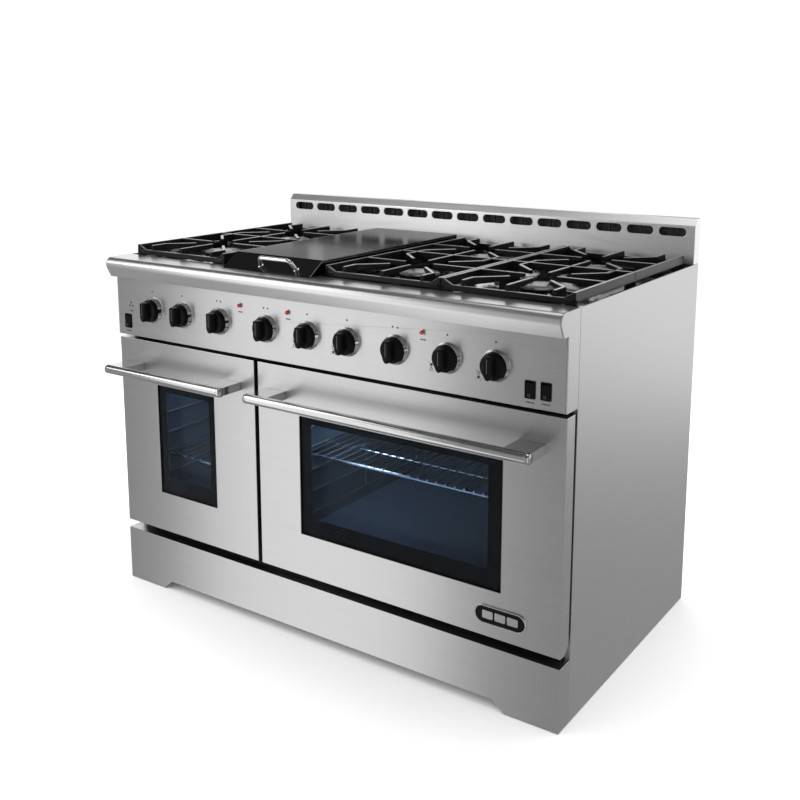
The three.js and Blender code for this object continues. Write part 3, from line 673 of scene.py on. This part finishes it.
def bullnose():
    low, high = span("bullnose_trim")
    path = nose_path() + [(NOSE_RETURN_Y, NOSE_LIP[1])]
    outline = path + inner_path(path, SHEET)[::-1]
    piece("bullnose", [prism(outline, "x", (low.x, high.x))], NOSE_STEEL, BODY,
          ["bullnose_trim"], crease=30)
    for side in ("left", "right"):
        node = f"{side}_end_cap"
        cap_low, cap_high = span(node)
        edge = nose_path() + [(PANEL_Y, PANEL_Z[1]), (PANEL_Y, PANEL_Z[0]), (NOSE_EDGE[0], PANEL_Z[0])]
        piece(f"{side}_panel_end", [prism(edge, "x", (cap_low.x, cap_high.x))], SIDE_STEEL, BODY,
              [node], 0.6)


def backguard():
    """The CAD upstand, with a rib in every slot and a dark sheet behind them that paints the shade inside
    the slots.
    """
    # The upstand gets the brushed steel painted lighter, as painted light.
    finish_node("backguard", GUARD_STEEL_PAINTED_LIGHTER, 0.9)
    low, _ = span("backguard")
    edge = VENT_COUNT * VENT_PITCH / 2
    ribs = []
    for i in range(VENT_COUNT):
        x = (i - (VENT_COUNT - 1) / 2) * VENT_PITCH
        ribs.append(block((x - 1, x + 1), (low.y + 4, low.y + 12), (VENT_Z - 14, VENT_Z + 12)))
    piece("vent_ribs", ribs, BURNER, BODY, bevel=0.3)
    # A dark sheet behind the slots: painted shade for the inside of the vents.
    painted_shade_sheet = block((-edge, edge), (low.y + 20, low.y + 22), (low.z + 2, VENT_Z + 14))
    piece("vent_painted_shade_sheet", [painted_shade_sheet], BURNER, BODY, bevel=0.4)


# ---------------------------------------------------------------- cooktop
def cooktop():
    tray()
    for place in ("left", "middle", "right"):
        for row in ("front", "rear"):
            burner(f"burner_{place}_{row}")
        grate(f"grate_{place}")
    finish_node("griddle_plate", DARK_STEEL, 1.0)
    finish_node("griddle_cover", DARK_STEEL, 1.2)
    cover_handle()


def burner_centres():
    return [middle(f"burner_{place}_{row}") for place in ("left", "middle", "right")
            for row in ("front", "rear")]


def steps_between(start, end, pitch):
    count = max(1, round((end - start) / pitch))
    return [start + (end - start) * i / count for i in range(count + 1)]


def tray():
    """Black pan with a raised rim and a round dish under each burner."""
    low, high = span("cooktop_tray")
    rim, slope = 8, 5
    xs = [low.x, low.x + rim] + steps_between(low.x + rim + slope, high.x - rim - slope, 6.5)
    xs += [high.x - rim, high.x]
    ys = [low.y, low.y + rim] + steps_between(low.y + rim + slope, high.y - rim - slope, 6.5)
    ys += [high.y - rim, high.y]
    centres = burner_centres()
    points = []
    for i, x in enumerate(xs):
        for j, y in enumerate(ys):
            if i < 2 or j < 2 or i > len(xs) - 3 or j > len(ys) - 3:
                points.append((x, y, high.z))
            else:
                points.append((x, y, low.z + THIN_SHEET - dish(x, y, centres)))
    row = len(ys)
    faces = [(i * row + j, (i + 1) * row + j, (i + 1) * row + j + 1, i * row + j + 1)
             for i in range(len(xs) - 1) for j in range(row - 1)]
    piece("cooktop_pan", [(points, faces)], ENAMEL, BODY, ["cooktop_tray"], crease=50)


def dish(x, y, centres):
    """How far the pan is sunk at a place."""
    near = min(math.hypot(x - c.x, y - c.y) for c in centres)
    if near >= BOWL_R:
        return 0
    depth = 1 - near / BOWL_R
    return BOWL_DEPTH * min(1, depth * 2.6) ** 0.8


def burner(node):
    """Burner head with a ring of flame ports, a domed cap and a spark electrode."""
    low, high = span(node)
    centre = ((low.x + high.x) / 2, (low.y + high.y) / 2)
    seat = low.z + BURNER_NECK_HEIGHT
    head = turned([(0, low.z), (BURNER_NECK_R, low.z), (BURNER_NECK_R, seat), (48, seat),
                   (50, seat + 2), (50, seat + 4), (44, seat + 7), (40, seat + 8), (40, seat + 14),
                   (0, seat + 14)], "z", centre)
    ports = []
    for i in range(PORT_COUNT):
        t = 2 * math.pi * i / PORT_COUNT
        out = Vector((math.cos(t), math.sin(t), 0))
        foot = Vector((*centre, seat + 14)) + out * 38.5
        ports.append(beam(foot, foot + out * 5.2, 4.2, 5.5, 5.5))
    piece(f"{node}_head", [head] + ports, BURNER, BODY, [node], 0.3)
    cap = turned([(0, seat + 15), (43, seat + 15), (45.5, seat + 17), (45.5, seat + 19), (43, seat + 22),
                  (36, seat + 24), (20, seat + 24.8), (0, seat + 25)], "z", centre, 64)
    piece(f"{node}_cap", [cap], IRON, BODY, bevel=0.5)
    spark_at = (centre[0] + 38, centre[1] - 38)
    collar = turned([(0, seat), (3.2, seat), (3.2, seat + 12), (2.2, seat + 14), (0, seat + 14)], "z",
                    spark_at, 16)
    needle = turned([(0, seat + 13), (0.8, seat + 13), (0.8, seat + 19), (0, seat + 19)], "z",
                    spark_at, 8)
    piece(f"{node}_spark", [collar, needle], WIRE, BODY)


def grate(node):
    """Cast grate over two burners: side bars on feet, low end bars and bent fingers."""
    low, high = span(node)
    x = (low.x + high.x) / 2
    half = (high.x - low.x) / 2
    inset = GRATE_BAR / 2
    top, foot = high.z, low.z
    front, back = low.y, high.y
    cross_y = (middle("burner_left_front").y + middle("burner_left_rear").y) / 2 + 4
    parts = []
    for side in (-1, 1):
        edge = x + side * (half - inset)
        parts.append(beam((edge, front, top), (edge, back, top), GRATE_BAR, SIDE_BAR_DROP, SIDE_BAR_DROP))
        parts.append(block(sorted((x + side * half, x + side * (half - GRATE_FOOT))),
                           (cross_y - inset, cross_y + inset), (foot, top - GRATE_END_DROP)))
        for y, inward in ((front, 1), (back, -1)):
            corner = y + inward * inset
            parts.append(block(sorted((x + side * half, x + side * (half - GRATE_FOOT))),
                               sorted((y, y + inward * GRATE_BAR)), (foot, top - 14)))
            low_end = (x + side * (half - GRATE_CORNER), corner, top - GRATE_END_DROP)
            parts.append(beam((edge, corner, top), low_end, GRATE_BAR, SIDE_BAR_DROP, GRATE_END_DROP))
    for y in (front + inset, back - inset):
        parts.append(beam((x - half, y, top - GRATE_END_DROP), (x + half, y, top - GRATE_END_DROP),
                          GRATE_BAR, GRATE_END_DROP, GRATE_END_DROP))
    parts.append(beam((x - half, cross_y, top), (x + half, cross_y, top), GRATE_BAR,
                      GRATE_FINGER_DROP, GRATE_FINGER_DROP))
    for row, limits in (("front", (front + inset, cross_y)), ("rear", (cross_y, back - inset))):
        burner_y = middle(f"burner_left_{row}").y
        parts.extend(fingers(x, burner_y, limits, half, top))
    piece(f"{node}_casting", parts, IRON_PAINTED_TOP_HIGHLIGHT, node, [node], 1.6, 3)


def fingers(x, y, limits, half, top):
    """Four straight and four bent fingers round one burner."""
    drop, tip_drop = GRATE_FINGER_DROP, GRATE_FINGER_TIP_DROP
    parts = []
    for side in (-1, 1):
        parts.append(beam((x + side * (half - 4), y, top), (x + side * FINGER_CLEAR, y, top),
                          GRATE_BAR, drop, tip_drop))
    for limit in limits:
        away = 1 if limit > y else -1
        parts.append(beam((x, limit, top), (x, y + away * FINGER_CLEAR, top), GRATE_BAR, drop, tip_drop))
        for side in (-1, 1):
            corner = (x + side * FINGER_BEND, y + away * FINGER_BEND, top)
            tip = (x + side * FINGER_TIP, y + away * FINGER_TIP, top)
            parts.append(beam(corner, tip, GRATE_BAR, drop, tip_drop))
            parts.append(beam((corner[0], corner[1] - away * 3, top), (corner[0], limit, top),
                              GRATE_BAR, drop, drop + 6))
    return parts


def cover_handle():
    """Bent round bar on the sloping front of the griddle cover."""
    low, high = span("griddle_cover_handle")
    cover_low, cover_high = span("griddle_cover")
    toe = Vector((cover_low.y, 838.4))
    edge = Vector((60, cover_high.z))
    along = (edge - toe).normalized()
    out = Vector((-along.y, along.x))
    base = toe + (edge - toe) * 0.34
    wire = 4.4
    left, right = low.x + wire, high.x - wire

    def point(x, away):
        place = base + out * away
        return Vector((x, place.x, place.y))

    path = [point(left - 6, 0)]
    path += bend(point(left - 6, 0), point(left + 2, 25), point(right - 2, 25), 9)
    path += bend(point(left + 2, 25), point(right - 2, 25), point(right + 6, 0), 9)
    path.append(point(right + 6, 0))
    collars = []
    for x in (left - 6, right + 6):
        rings = []
        for away, radius in ((-1, 6.6), (1.6, 6.6), (2.4, 5.4)):
            centre = point(x, away)
            turns = [2 * math.pi * k / 20 for k in range(20)]
            up = Vector((0, along.x, along.y))
            rings.append([tuple(centre + Vector((1, 0, 0)) * radius * math.cos(t)
                                + up * radius * math.sin(t)) for t in turns])
        collars.append(loft(rings))
    piece("griddle_lift_handle", [tube(path, wire)] + collars, CHROME, "griddle_cover",
          ["griddle_cover_handle"], crease=40)


# ---------------------------------------------------------------- controls
def controls():
    for node in KNOBS:
        knob(node)
    for node in LAMPS:
        lamp(node)
    for node in SWITCHES:
        switch(node)
    panel_marks()


def knob(node):
    """Round black knob with a raised grip, inside a fixed chrome bezel."""
    low, high = span(node)
    x, z = (low.x + high.x) / 2, (low.z + high.z) / 2
    back = span("control_panel")[0].y
    bezel = ring([(BEZEL_R, back), (BEZEL_R, back - 2), (BEZEL_R - 0.8, back - 3.4),
                  (BEZEL_INNER_R + 1, back - BEZEL_DEPTH), (BEZEL_INNER_R, back - BEZEL_DEPTH + 0.4),
                  (BEZEL_INNER_R, back)], "y", (x, z), 64)
    piece(f"{node}_bezel", [bezel], CHROME, BODY, crease=25)
    face = back - KNOB_FACE_STAND
    disc = turned([(0, back - 0.6), (KNOB_DISC_R, back - 0.6), (KNOB_DISC_R, face + 4),
                   (KNOB_DISC_R - 1.2, face + 1.4), (KNOB_DISC_R - 4, face), (0, face)], "y", (x, z), 56)
    half, tall = KNOB_BLADE[0] / 2, KNOB_BLADE[1] / 2
    front = low.y
    rings = []
    for y, narrow, short in ((face + 8, 0, 0), (front + 5, 0.5, 0.3), (front + 1.6, 1.2, 0.8),
                             (front, 3.2, 2.6)):
        rings.append([(x + a, y, z + b) for a, b in grip_outline(half - narrow, tall - short)])
    spindle = turned([(0, back), (SPINDLE_R, back), (SPINDLE_R, high.y), (0, high.y)], "y", (x, z), 16)
    piece(f"{node}_grip", [disc, loft(rings), spindle], PLASTIC, node, [node],
          0.8, 3)
    line = prism(rounded_rectangle((x, z + 5), POINTER_SIZE, 0.6, 3), "y", (front - 0.02, front + 0.6))
    piece(f"{node}_pointer", [line], POINTER, node)


def grip_outline(half, tall):
    """Outline of the grip: nearly square at the top and drawn to a blunt point at the foot."""
    return [(half, tall - 3), (half * 0.8, tall - 0.8), (0, tall), (-half * 0.8, tall - 0.8),
            (-half, tall - 3), (-half, 9 - tall), (-half * 0.62, 3 - tall), (-half * 0.2, -tall),
            (half * 0.2, -tall), (half * 0.62, 3 - tall), (half, 9 - tall)]


def lamp(node):
    low, high = span(node)
    centre = ((low.x + high.x) / 2, (low.z + high.z) / 2)
    front = low.y
    lens = turned([(0, 10), (4.6, 10), (4.8, front + 4.4), (4.4, front + 2.4), (3.2, front + 0.9),
                   (1.6, front + 0.2), (0, front)], "y", centre, 32)
    piece(f"{node}_lens", [lens], LENS, BODY, [node], crease=60)
    rim = ring([(6.6, -2.4), (6.6, -3.6), (6, -4.6), (5.1, -4.6), (4.9, -3.4), (4.9, -2.4)], "y", centre,
               32)
    piece(f"{node}_rim", [rim], CHROME, BODY, crease=25)


def switch(node):
    """Rocker in a black bezel; its lower half stands proud until it is pressed."""
    low, high = span(node)
    x, z = (low.x + high.x) / 2, (low.z + high.z) / 2
    width, height = high.x - low.x, high.z - low.z
    outer = rounded_rectangle((x, z), (width + 4, height + 6), 2, 4)
    inner = rounded_rectangle((x, z), (width + 1, height + 1.8), 0.8, 4)
    piece(f"{node}_frame", [frame_plate(outer, inner, "y", (-4.6, -2.4))], PLASTIC, BODY,
          bevel=0.5)
    reach = height / 2 - ROCKER_CLEAR
    outline = [(-2.9, reach), (-3.8, 7), (-4.2, 0), (-6, -7), (-8.4, -reach), (4, -reach), (10, -5),
               (10, 5), (4, reach)]
    rocker = prism([(y, z + up) for y, up in outline], "x", (low.x, high.x))
    piece(f"{node}_rocker", [rocker], PLASTIC, node, [node], 0.7)
    sign = ring([(2.6, -8.0), (2.6, -8.35), (1.9, -8.35), (1.9, -8.0)], "y", (x, z - 9.5), 20)
    piece(f"{node}_sign", [sign], POINTER, node)


def mark(outline):
    back = span("control_panel")[0].y
    return prism(outline, "y", (back - LABEL_THICK, back + 0.2))


def words(x, z, lengths, height):
    """A row of small dashes that stands for a printed label."""
    parts = []
    gap = 1.1
    start = x - (sum(lengths) + gap * (len(lengths) - 1)) / 2
    for length in lengths:
        parts.append(mark([(start, z), (start + length, z), (start + length, z + height),
                           (start, z + height)]))
        start += length + gap
    return parts


def panel_marks():
    """Printed dots, triangles, burner signs and label dashes on the control panel."""
    parts = []
    for node in KNOBS:
        centre = middle(node)
        if node in OVEN_KNOBS:
            x = centre.x - 6
            parts.append(mark([(x - 2.6, MARK_Z + 2), (x + 2.6, MARK_Z + 2), (x, MARK_Z - 2.6)]))
            parts.append(mark(circle((centre.x + 6, MARK_Z), 2, 20)))
        else:
            parts.append(mark(circle((centre.x, MARK_Z), 2.1, 20)))
            parts.extend(burner_sign(node, centre))
    for node in LAMPS:
        centre = middle(node)
        parts.extend(words(centre.x + 1, centre.z - 16, (3.4, 2.6, 4), 2.6))
    for node in SWITCHES:
        centre = middle(node)
        parts.extend(words(centre.x, centre.z - 26, (3, 4.2, 2.6, 3.4), 2.6))
    lamp_sign = middle("switch_small_oven_light")
    for turn in range(3):
        t = math.radians(90 + 120 * turn)
        at = (lamp_sign.x + 12 + 5.5 * math.cos(t), 722 + 5.5 * math.sin(t))
        parts.append(mark(circle(at, 2.4, 14)))
    parts.extend(words(lamp_sign.x + 14, 706, (3, 4, 2.4), 2.4))
    piece("panel_print", parts, INK, BODY)


def burner_sign(node, centre):
    """Two stacked rings; the filled one is the burner that the knob works."""
    x = centre.x - 37
    parts = []
    filled_up = "rear" in node
    for up, filled in ((1, filled_up), (-1, not filled_up)):
        z = centre.z - 23 + up * 4.4
        if filled:
            parts.append(mark(circle((x, z), 3.2, 20)))
        else:
            back = span("control_panel")[0].y
            parts.append(ring([(3.4, back), (3.4, back - LABEL_THICK), (2.3, back - LABEL_THICK),
                               (2.3, back)], "y", (x, z), 20))
    for side in (-1, 1):
        for up in (-1, 1):
            a, b = x + side * 4.8, centre.z - 23 + up * 8.6
            parts.append(mark([(a - 1.4, b - 0.5), (a + 1.4, b - 0.5), (a + 1.4, b + 0.5),
                               (a - 1.4, b + 0.5)]))
    return parts


# ---------------------------------------------------------------- doors
def doors():
    door("left", "left_door", FRIT_SMALL, "small")
    door("right", "right_door", FRIT_LARGE, "large")


def door(side, body, clear, oven):
    finish_node(f"{side}_door_skin", STEEL, 0.9)
    finish_node(f"{side}_door_inner_panel", ENAMEL, 0.5)
    finish_node(f"{side}_door_hinge", ZINC, 0.5)
    window(side, body, clear)
    handle(side, body)
    gasket(oven)


def window(side, body, clear):
    """Outer pane with a black printed border, and a clear inner pane held by a frame."""
    low, high = span(f"{side}_door_glass")
    x, z = (low.x + high.x) / 2, (low.z + high.z) / 2
    size = (high.x - low.x, high.z - low.z)
    clear_x, clear_z = clear
    clear_centre = (sum(clear_x) / 2, sum(clear_z) / 2)
    clear_size = (clear_x[1] - clear_x[0], clear_z[1] - clear_z[0])
    pane = prism(rounded_rectangle((x, z), size, 3, 4), "y", (low.y, high.y))
    piece(f"{side}_window_pane", [pane], GLASS, body, [f"{side}_door_glass"], 0.5)
    outer = rounded_rectangle((x, z), (size[0] - 1, size[1] - 1), 3, 5)
    inner = rounded_rectangle(clear_centre, clear_size, 7, 5)
    piece(f"{side}_window_border", [frame_plate(outer, inner, "y", (high.y + 0.1, high.y + 0.5))],
          FRIT, body)
    inner_pane = prism(rounded_rectangle((x, z), (size[0] - 2, size[1] - 2), 4, 4), "y", INNER_PANE_Y)
    piece(f"{side}_inner_pane", [inner_pane], INNER_GLASS, body, bevel=0.4)
    rim_outer = rounded_rectangle((x, z), (size[0] + 22, size[1] + 22), 8, 5)
    rim_inner = rounded_rectangle((x, z), (size[0] - 14, size[1] - 14), 6, 5)
    piece(f"{side}_inner_rim", [frame_plate(rim_outer, rim_inner, "y", INNER_RIM_Y)], POLISHED, body,
          bevel=0.5)


def handle(side, body):
    """Straight round bar on two square brackets."""
    low, high = span(f"{side}_door_handle")
    radius = HANDLE_R
    y, z = low.y + radius, (low.z + high.z) / 2
    profile = [(0, low.x), (radius - 2.4, low.x), (radius - 0.9, low.x + 0.7), (radius, low.x + 2.4),
               (radius, low.x + 7.4), (radius - 0.8, low.x + 7.8), (radius - 0.8, low.x + 8.8),
               (radius, low.x + 9.2)]
    mirrored = [(r, high.x - (x - low.x)) for r, x in reversed(profile)]
    bar = turned(profile + mirrored, "x", (y, z), 56)
    piece(f"{side}_handle_bar", [bar], HANDLE, body, [f"{side}_door_handle"],
          crease=40)
    brackets = []
    bracket_z = (z - BRACKET_HEIGHT / 2, z + BRACKET_HEIGHT / 2)
    for inner, outer in ((low.x + 2, low.x + BRACKET_WIDTH), (high.x - 2, high.x - BRACKET_WIDTH)):
        brackets.append(block(sorted((inner, outer)), (y + 3, -0.2), bracket_z))
    piece(f"{side}_handle_brackets", brackets, HANDLE, body, bevel=0.9)


def gasket(oven):
    """Woven seal round the mouth of an oven, on the face frame."""
    low, high = span(f"{oven}_oven_liner")
    frame_y = span("front_frame")[0].y
    x, z = (low.x + high.x) / 2, (low.z + high.z) / 2
    outline = rounded_rectangle((x, z), (high.x - low.x + 16, high.z - low.z + 16), 14, 6)
    loop = [(a, frame_y - 3, b) for a, b in outline]
    loop.append(loop[0])
    piece(f"{oven}_oven_gasket", [tube(loop, 3.6, 10)], GASKET, BODY)


def badge():
    """Oval plate with a bright rim and three plain bars, low on the large door."""
    width, height = BADGE_SIZE
    outer = rounded_rectangle(BADGE_CENTRE, BADGE_SIZE, height / 2 - 0.2, 12)
    inner = rounded_rectangle(BADGE_CENTRE, (width - 5, height - 5), height / 2 - 2.7, 12)
    piece("badge_rim", [frame_plate(outer, inner, "y", (-3, -0.1))], CHROME, "right_door",
          bevel=0.6)
    field = rounded_rectangle(BADGE_CENTRE, (width - 4.6, height - 4.6), height / 2 - 2.5, 12)
    piece("badge_field", [prism(field, "y", (-1.8, -0.1))], PLASTIC, "right_door")
    bars = []
    for i in (-1, 0, 1):
        x = BADGE_CENTRE[0] + i * BADGE_BAR_PITCH
        bar = rounded_rectangle((x, BADGE_CENTRE[1]), BADGE_BAR_SIZE, 3, 4)
        bars.append(prism(bar, "y", (-2.6, -1.7)))
    piece("badge_bars", bars, STEEL, "right_door", bevel=0.5)


# ---------------------------------------------------------------- inside the ovens
def ovens():
    rack("large_oven_rack", 26)
    rack("small_oven_rack", 11)
    for oven in ("small", "large"):
        guides(oven)
    finish_node("fan_cover", LINER, 0.5)
    finish_node("convection_fan", ZINC, 0.4)


def rack(node, wires):
    """Wire rack: a bright frame with upturned studs in front, and runners behind painted dark as shade.
    """
    low, high = span(node)
    wire = 3
    z = low.z + wire
    front, back = low.y + wire + 3, high.y - wire
    left, right = low.x + wire, high.x - wire
    rim = rounded_rectangle(((left + right) / 2, (front + back) / 2), (right - left, back - front), 12, 5)
    loop = [(a, b, z) for a, b in rim]
    bright = [tube(loop + [loop[0]], wire, 10)]
    painted_shade_runners = []
    for share in (0.2, 0.45, 0.72):
        y = front + (back - front) * share
        bright.append(tube([(left, y, z - 1), (right, y, z - 1)], RAIL_R, 10))
    pitch = (right - left) / (wires + 1)
    for i in range(wires):
        x = left + pitch * (i + 1)
        bright.append(tube([(x, front - 1, z), (x, front - 1, high.z)], STUD_R, 8))
        painted_shade_runners.append(tube([(x, front, z + wire), (x, back, z + wire)], STUD_R, 8))
    piece(f"{node}_frame_wire", bright, WIRE, node, [node])
    # The runners carry the plating painted dark, as painted shade.
    piece(f"{node}_runners", painted_shade_runners, WIRE_PAINTED_SHADE, node)


def guides(oven):
    """Side ladders that can hold the rack at several heights."""
    low, high = span(f"{oven}_oven_liner")
    rack_low, _ = span(f"{oven}_oven_rack")
    parts = []
    for side, wall in ((1, low.x + THIN_SHEET), (-1, high.x - THIN_SHEET)):
        x = wall + side * 4.2
        for y in (90, 330, 560):
            post_x = x - side * 2
            parts.append(tube([(post_x, y, low.z + 30), (post_x, y, high.z - 20)], GUIDE_R, 8))
        for step in range(-3, 4):
            z = rack_low.z - 4 + step * GUIDE_STEP
            if low.z + 30 < z < high.z - 20:
                parts.append(tube([(x, 80, z), (x, 575, z)], GUIDE_R, 8))
    piece(f"{oven}_oven_rack_guides", parts, WIRE, BODY)


# ---------------------------------------------------------------- stage
def floor():
    mesh = bpy.data.meshes.new("floor")
    reach = 14
    mesh.from_pydata([(-reach, -reach, 0), (reach, -reach, 0), (reach, reach, 0), (-reach, reach, 0)],
                     [], [(0, 1, 2, 3)])
    o = bpy.data.objects.new("floor", mesh)
    bpy.context.scene.collection.objects.link(o)
    paint = Paint("floor", grey(0.97), 0.8)
    paint.color_from(paint.noise((3, 3, 3)), grey(0.965), grey(0.975))
    paint.set(specular_ior_level=0)
    mesh.materials.append(paint.material)
    o.visible_glossy = False
    o.visible_shadow = False


def softbox(name, place, target, size, power):
    light = bpy.data.lights.new(name, "AREA")
    light.shape = "RECTANGLE"
    light.size, light.size_y = size
    light.energy = power
    o = bpy.data.objects.new(name, light)
    bpy.context.scene.collection.objects.link(o)
    o.location = place
    o.rotation_euler = (Vector(target) - Vector(place)).to_track_quat("-Z", "Y").to_euler()
    o.visible_camera = False
    return o


def oven_lamp(name, place, size, power, color):
    lamp_light = softbox(name, place, (place[0], place[1], place[2] - 1), size, power)
    lamp_light.data.color = color


def world():
    """White to the eye; reflections see a pale floor below and a dim studio above."""
    scene = bpy.context.scene
    scene.world = bpy.data.worlds.new("studio")
    scene.world.use_nodes = True
    tree = scene.world.node_tree
    studio = tree.nodes["Background"]
    direction = tree.nodes.new("ShaderNodeTexCoord")
    height = tree.nodes.new("ShaderNodeSeparateXYZ")
    tree.links.new(direction.outputs["Generated"], height.inputs["Vector"])
    shade = tree.nodes.new("ShaderNodeMapRange")
    shade.interpolation_type = "SMOOTHSTEP"
    shade.inputs["From Min"].default_value = 0.2
    shade.inputs["From Max"].default_value = 0.6
    shade.inputs["To Min"].default_value = 0.42
    shade.inputs["To Max"].default_value = 0.12
    tree.links.new(height.outputs["Z"], shade.inputs["Value"])
    tree.links.new(shade.outputs["Result"], studio.inputs["Color"])
    backdrop = tree.nodes.new("ShaderNodeBackground")
    backdrop.inputs["Color"].default_value = (1, 1, 1, 1)
    backdrop.inputs["Strength"].default_value = 1.12
    seen = tree.nodes.new("ShaderNodeLightPath")
    mix = tree.nodes.new("ShaderNodeMixShader")
    plain = tree.nodes.new("ShaderNodeMath")
    plain.operation = "MAXIMUM"
    tree.links.new(seen.outputs["Is Camera Ray"], plain.inputs[0])
    tree.links.new(seen.outputs["Is Diffuse Ray"], plain.inputs[1])
    tree.links.new(plain.outputs["Value"], mix.inputs["Fac"])
    tree.links.new(studio.outputs["Background"], mix.inputs[1])
    tree.links.new(backdrop.outputs["Background"], mix.inputs[2])
    tree.links.new(mix.outputs["Shader"], tree.nodes["World Output"].inputs["Surface"])
    scene.view_settings.view_transform = "Standard"


def lights():
    front = [softbox("front_strip", (-0.98, -1.56, -0.2), (0, -0.3, -0.2), (0.95, 3.6), 12.5),
             softbox("front_high", (-1.6, -1.4, 1.9), (0, 0, 0.85), (0.9, 1.4), 11),
             softbox("front_right", (1.5, -1.3, -0.1), (0.2, -0.3, -0.1), (0.8, 3.0), 7)]
    softbox("left_panel", (-2.3, 1.5, 1.2), (-0.6, 0.1, 0.6), (1.4, 2.0), 9)
    softbox("right_panel", (1.9, 2.2, 1.1), (0.6, 0.1, 0.6), (2.2, 2.7), 19)
    softbox("ceiling", (0.3, 0.2, 3.2), (0, 0, 0.5), (2.6, 2.0), 26)
    softbox("back_left", (-1.9, 2.3, 1.45), (-0.1, 0.1, 0.87), (0.4, 0.9), 1.7)
    softbox("back_right", (-0.9, 2.4, 1.35), (0.2, 0, 0.87), (1.1, 0.7), 4.8)
    oven_lamp("large_oven_lamp", (-0.03, -0.12, 0.585), (0.1, 0.3), 0.95, (0.75, 0.88, 1.0))
    oven_lamp("small_oven_lamp", (-0.44, -0.12, 0.585), (0.1, 0.3), 0.45, (0.75, 0.88, 1.0))
    guard_light = softbox("guard_light", (-1.1, -1.3, 1.3), (-0.05, 0.35, 0.9), (0.5, 0.7), 5)
    light_only(guard_light, "backguard_lit", frame["nodes"]["backguard"])
    keep_off_glass(front)


def light_only(box, name, *objects):
    """The softbox lights these objects and nothing else."""
    lit = bpy.data.collections.new(name)
    for o in objects:
        lit.objects.link(o)
    box.light_linking.receiver_collection = lit


def keep_off_glass(boxes):
    """The front softboxes light the steel and leave the windows clear."""
    panes = bpy.data.collections.new("windows")
    for side in ("left", "right"):
        for part in ("window_pane", "window_border", "inner_pane"):
            panes.objects.link(bpy.data.objects[f"{side}_{part}"])
    for item in panes.collection_objects:
        item.light_linking.link_state = "EXCLUDE"
    for box in boxes:
        box.light_linking.receiver_collection = panes


def camera():
    data = bpy.data.cameras.new("camera")
    data.lens = CAMERA_LENS
    data.sensor_width = 36
    data.shift_y = CAMERA_SHIFT_Y
    o = bpy.data.objects.new("camera", data)
    bpy.context.scene.collection.objects.link(o)
    o.location = CAMERA_PLACE
    o.rotation_euler = (math.radians(90 + CAMERA_PITCH), 0, math.radians(CAMERA_YAW))
    bpy.context.scene.camera = o


cabinet()
bullnose()
backguard()
cooktop()
controls()
doors()
badge()
ovens()
floor()
world()
lights()
camera()
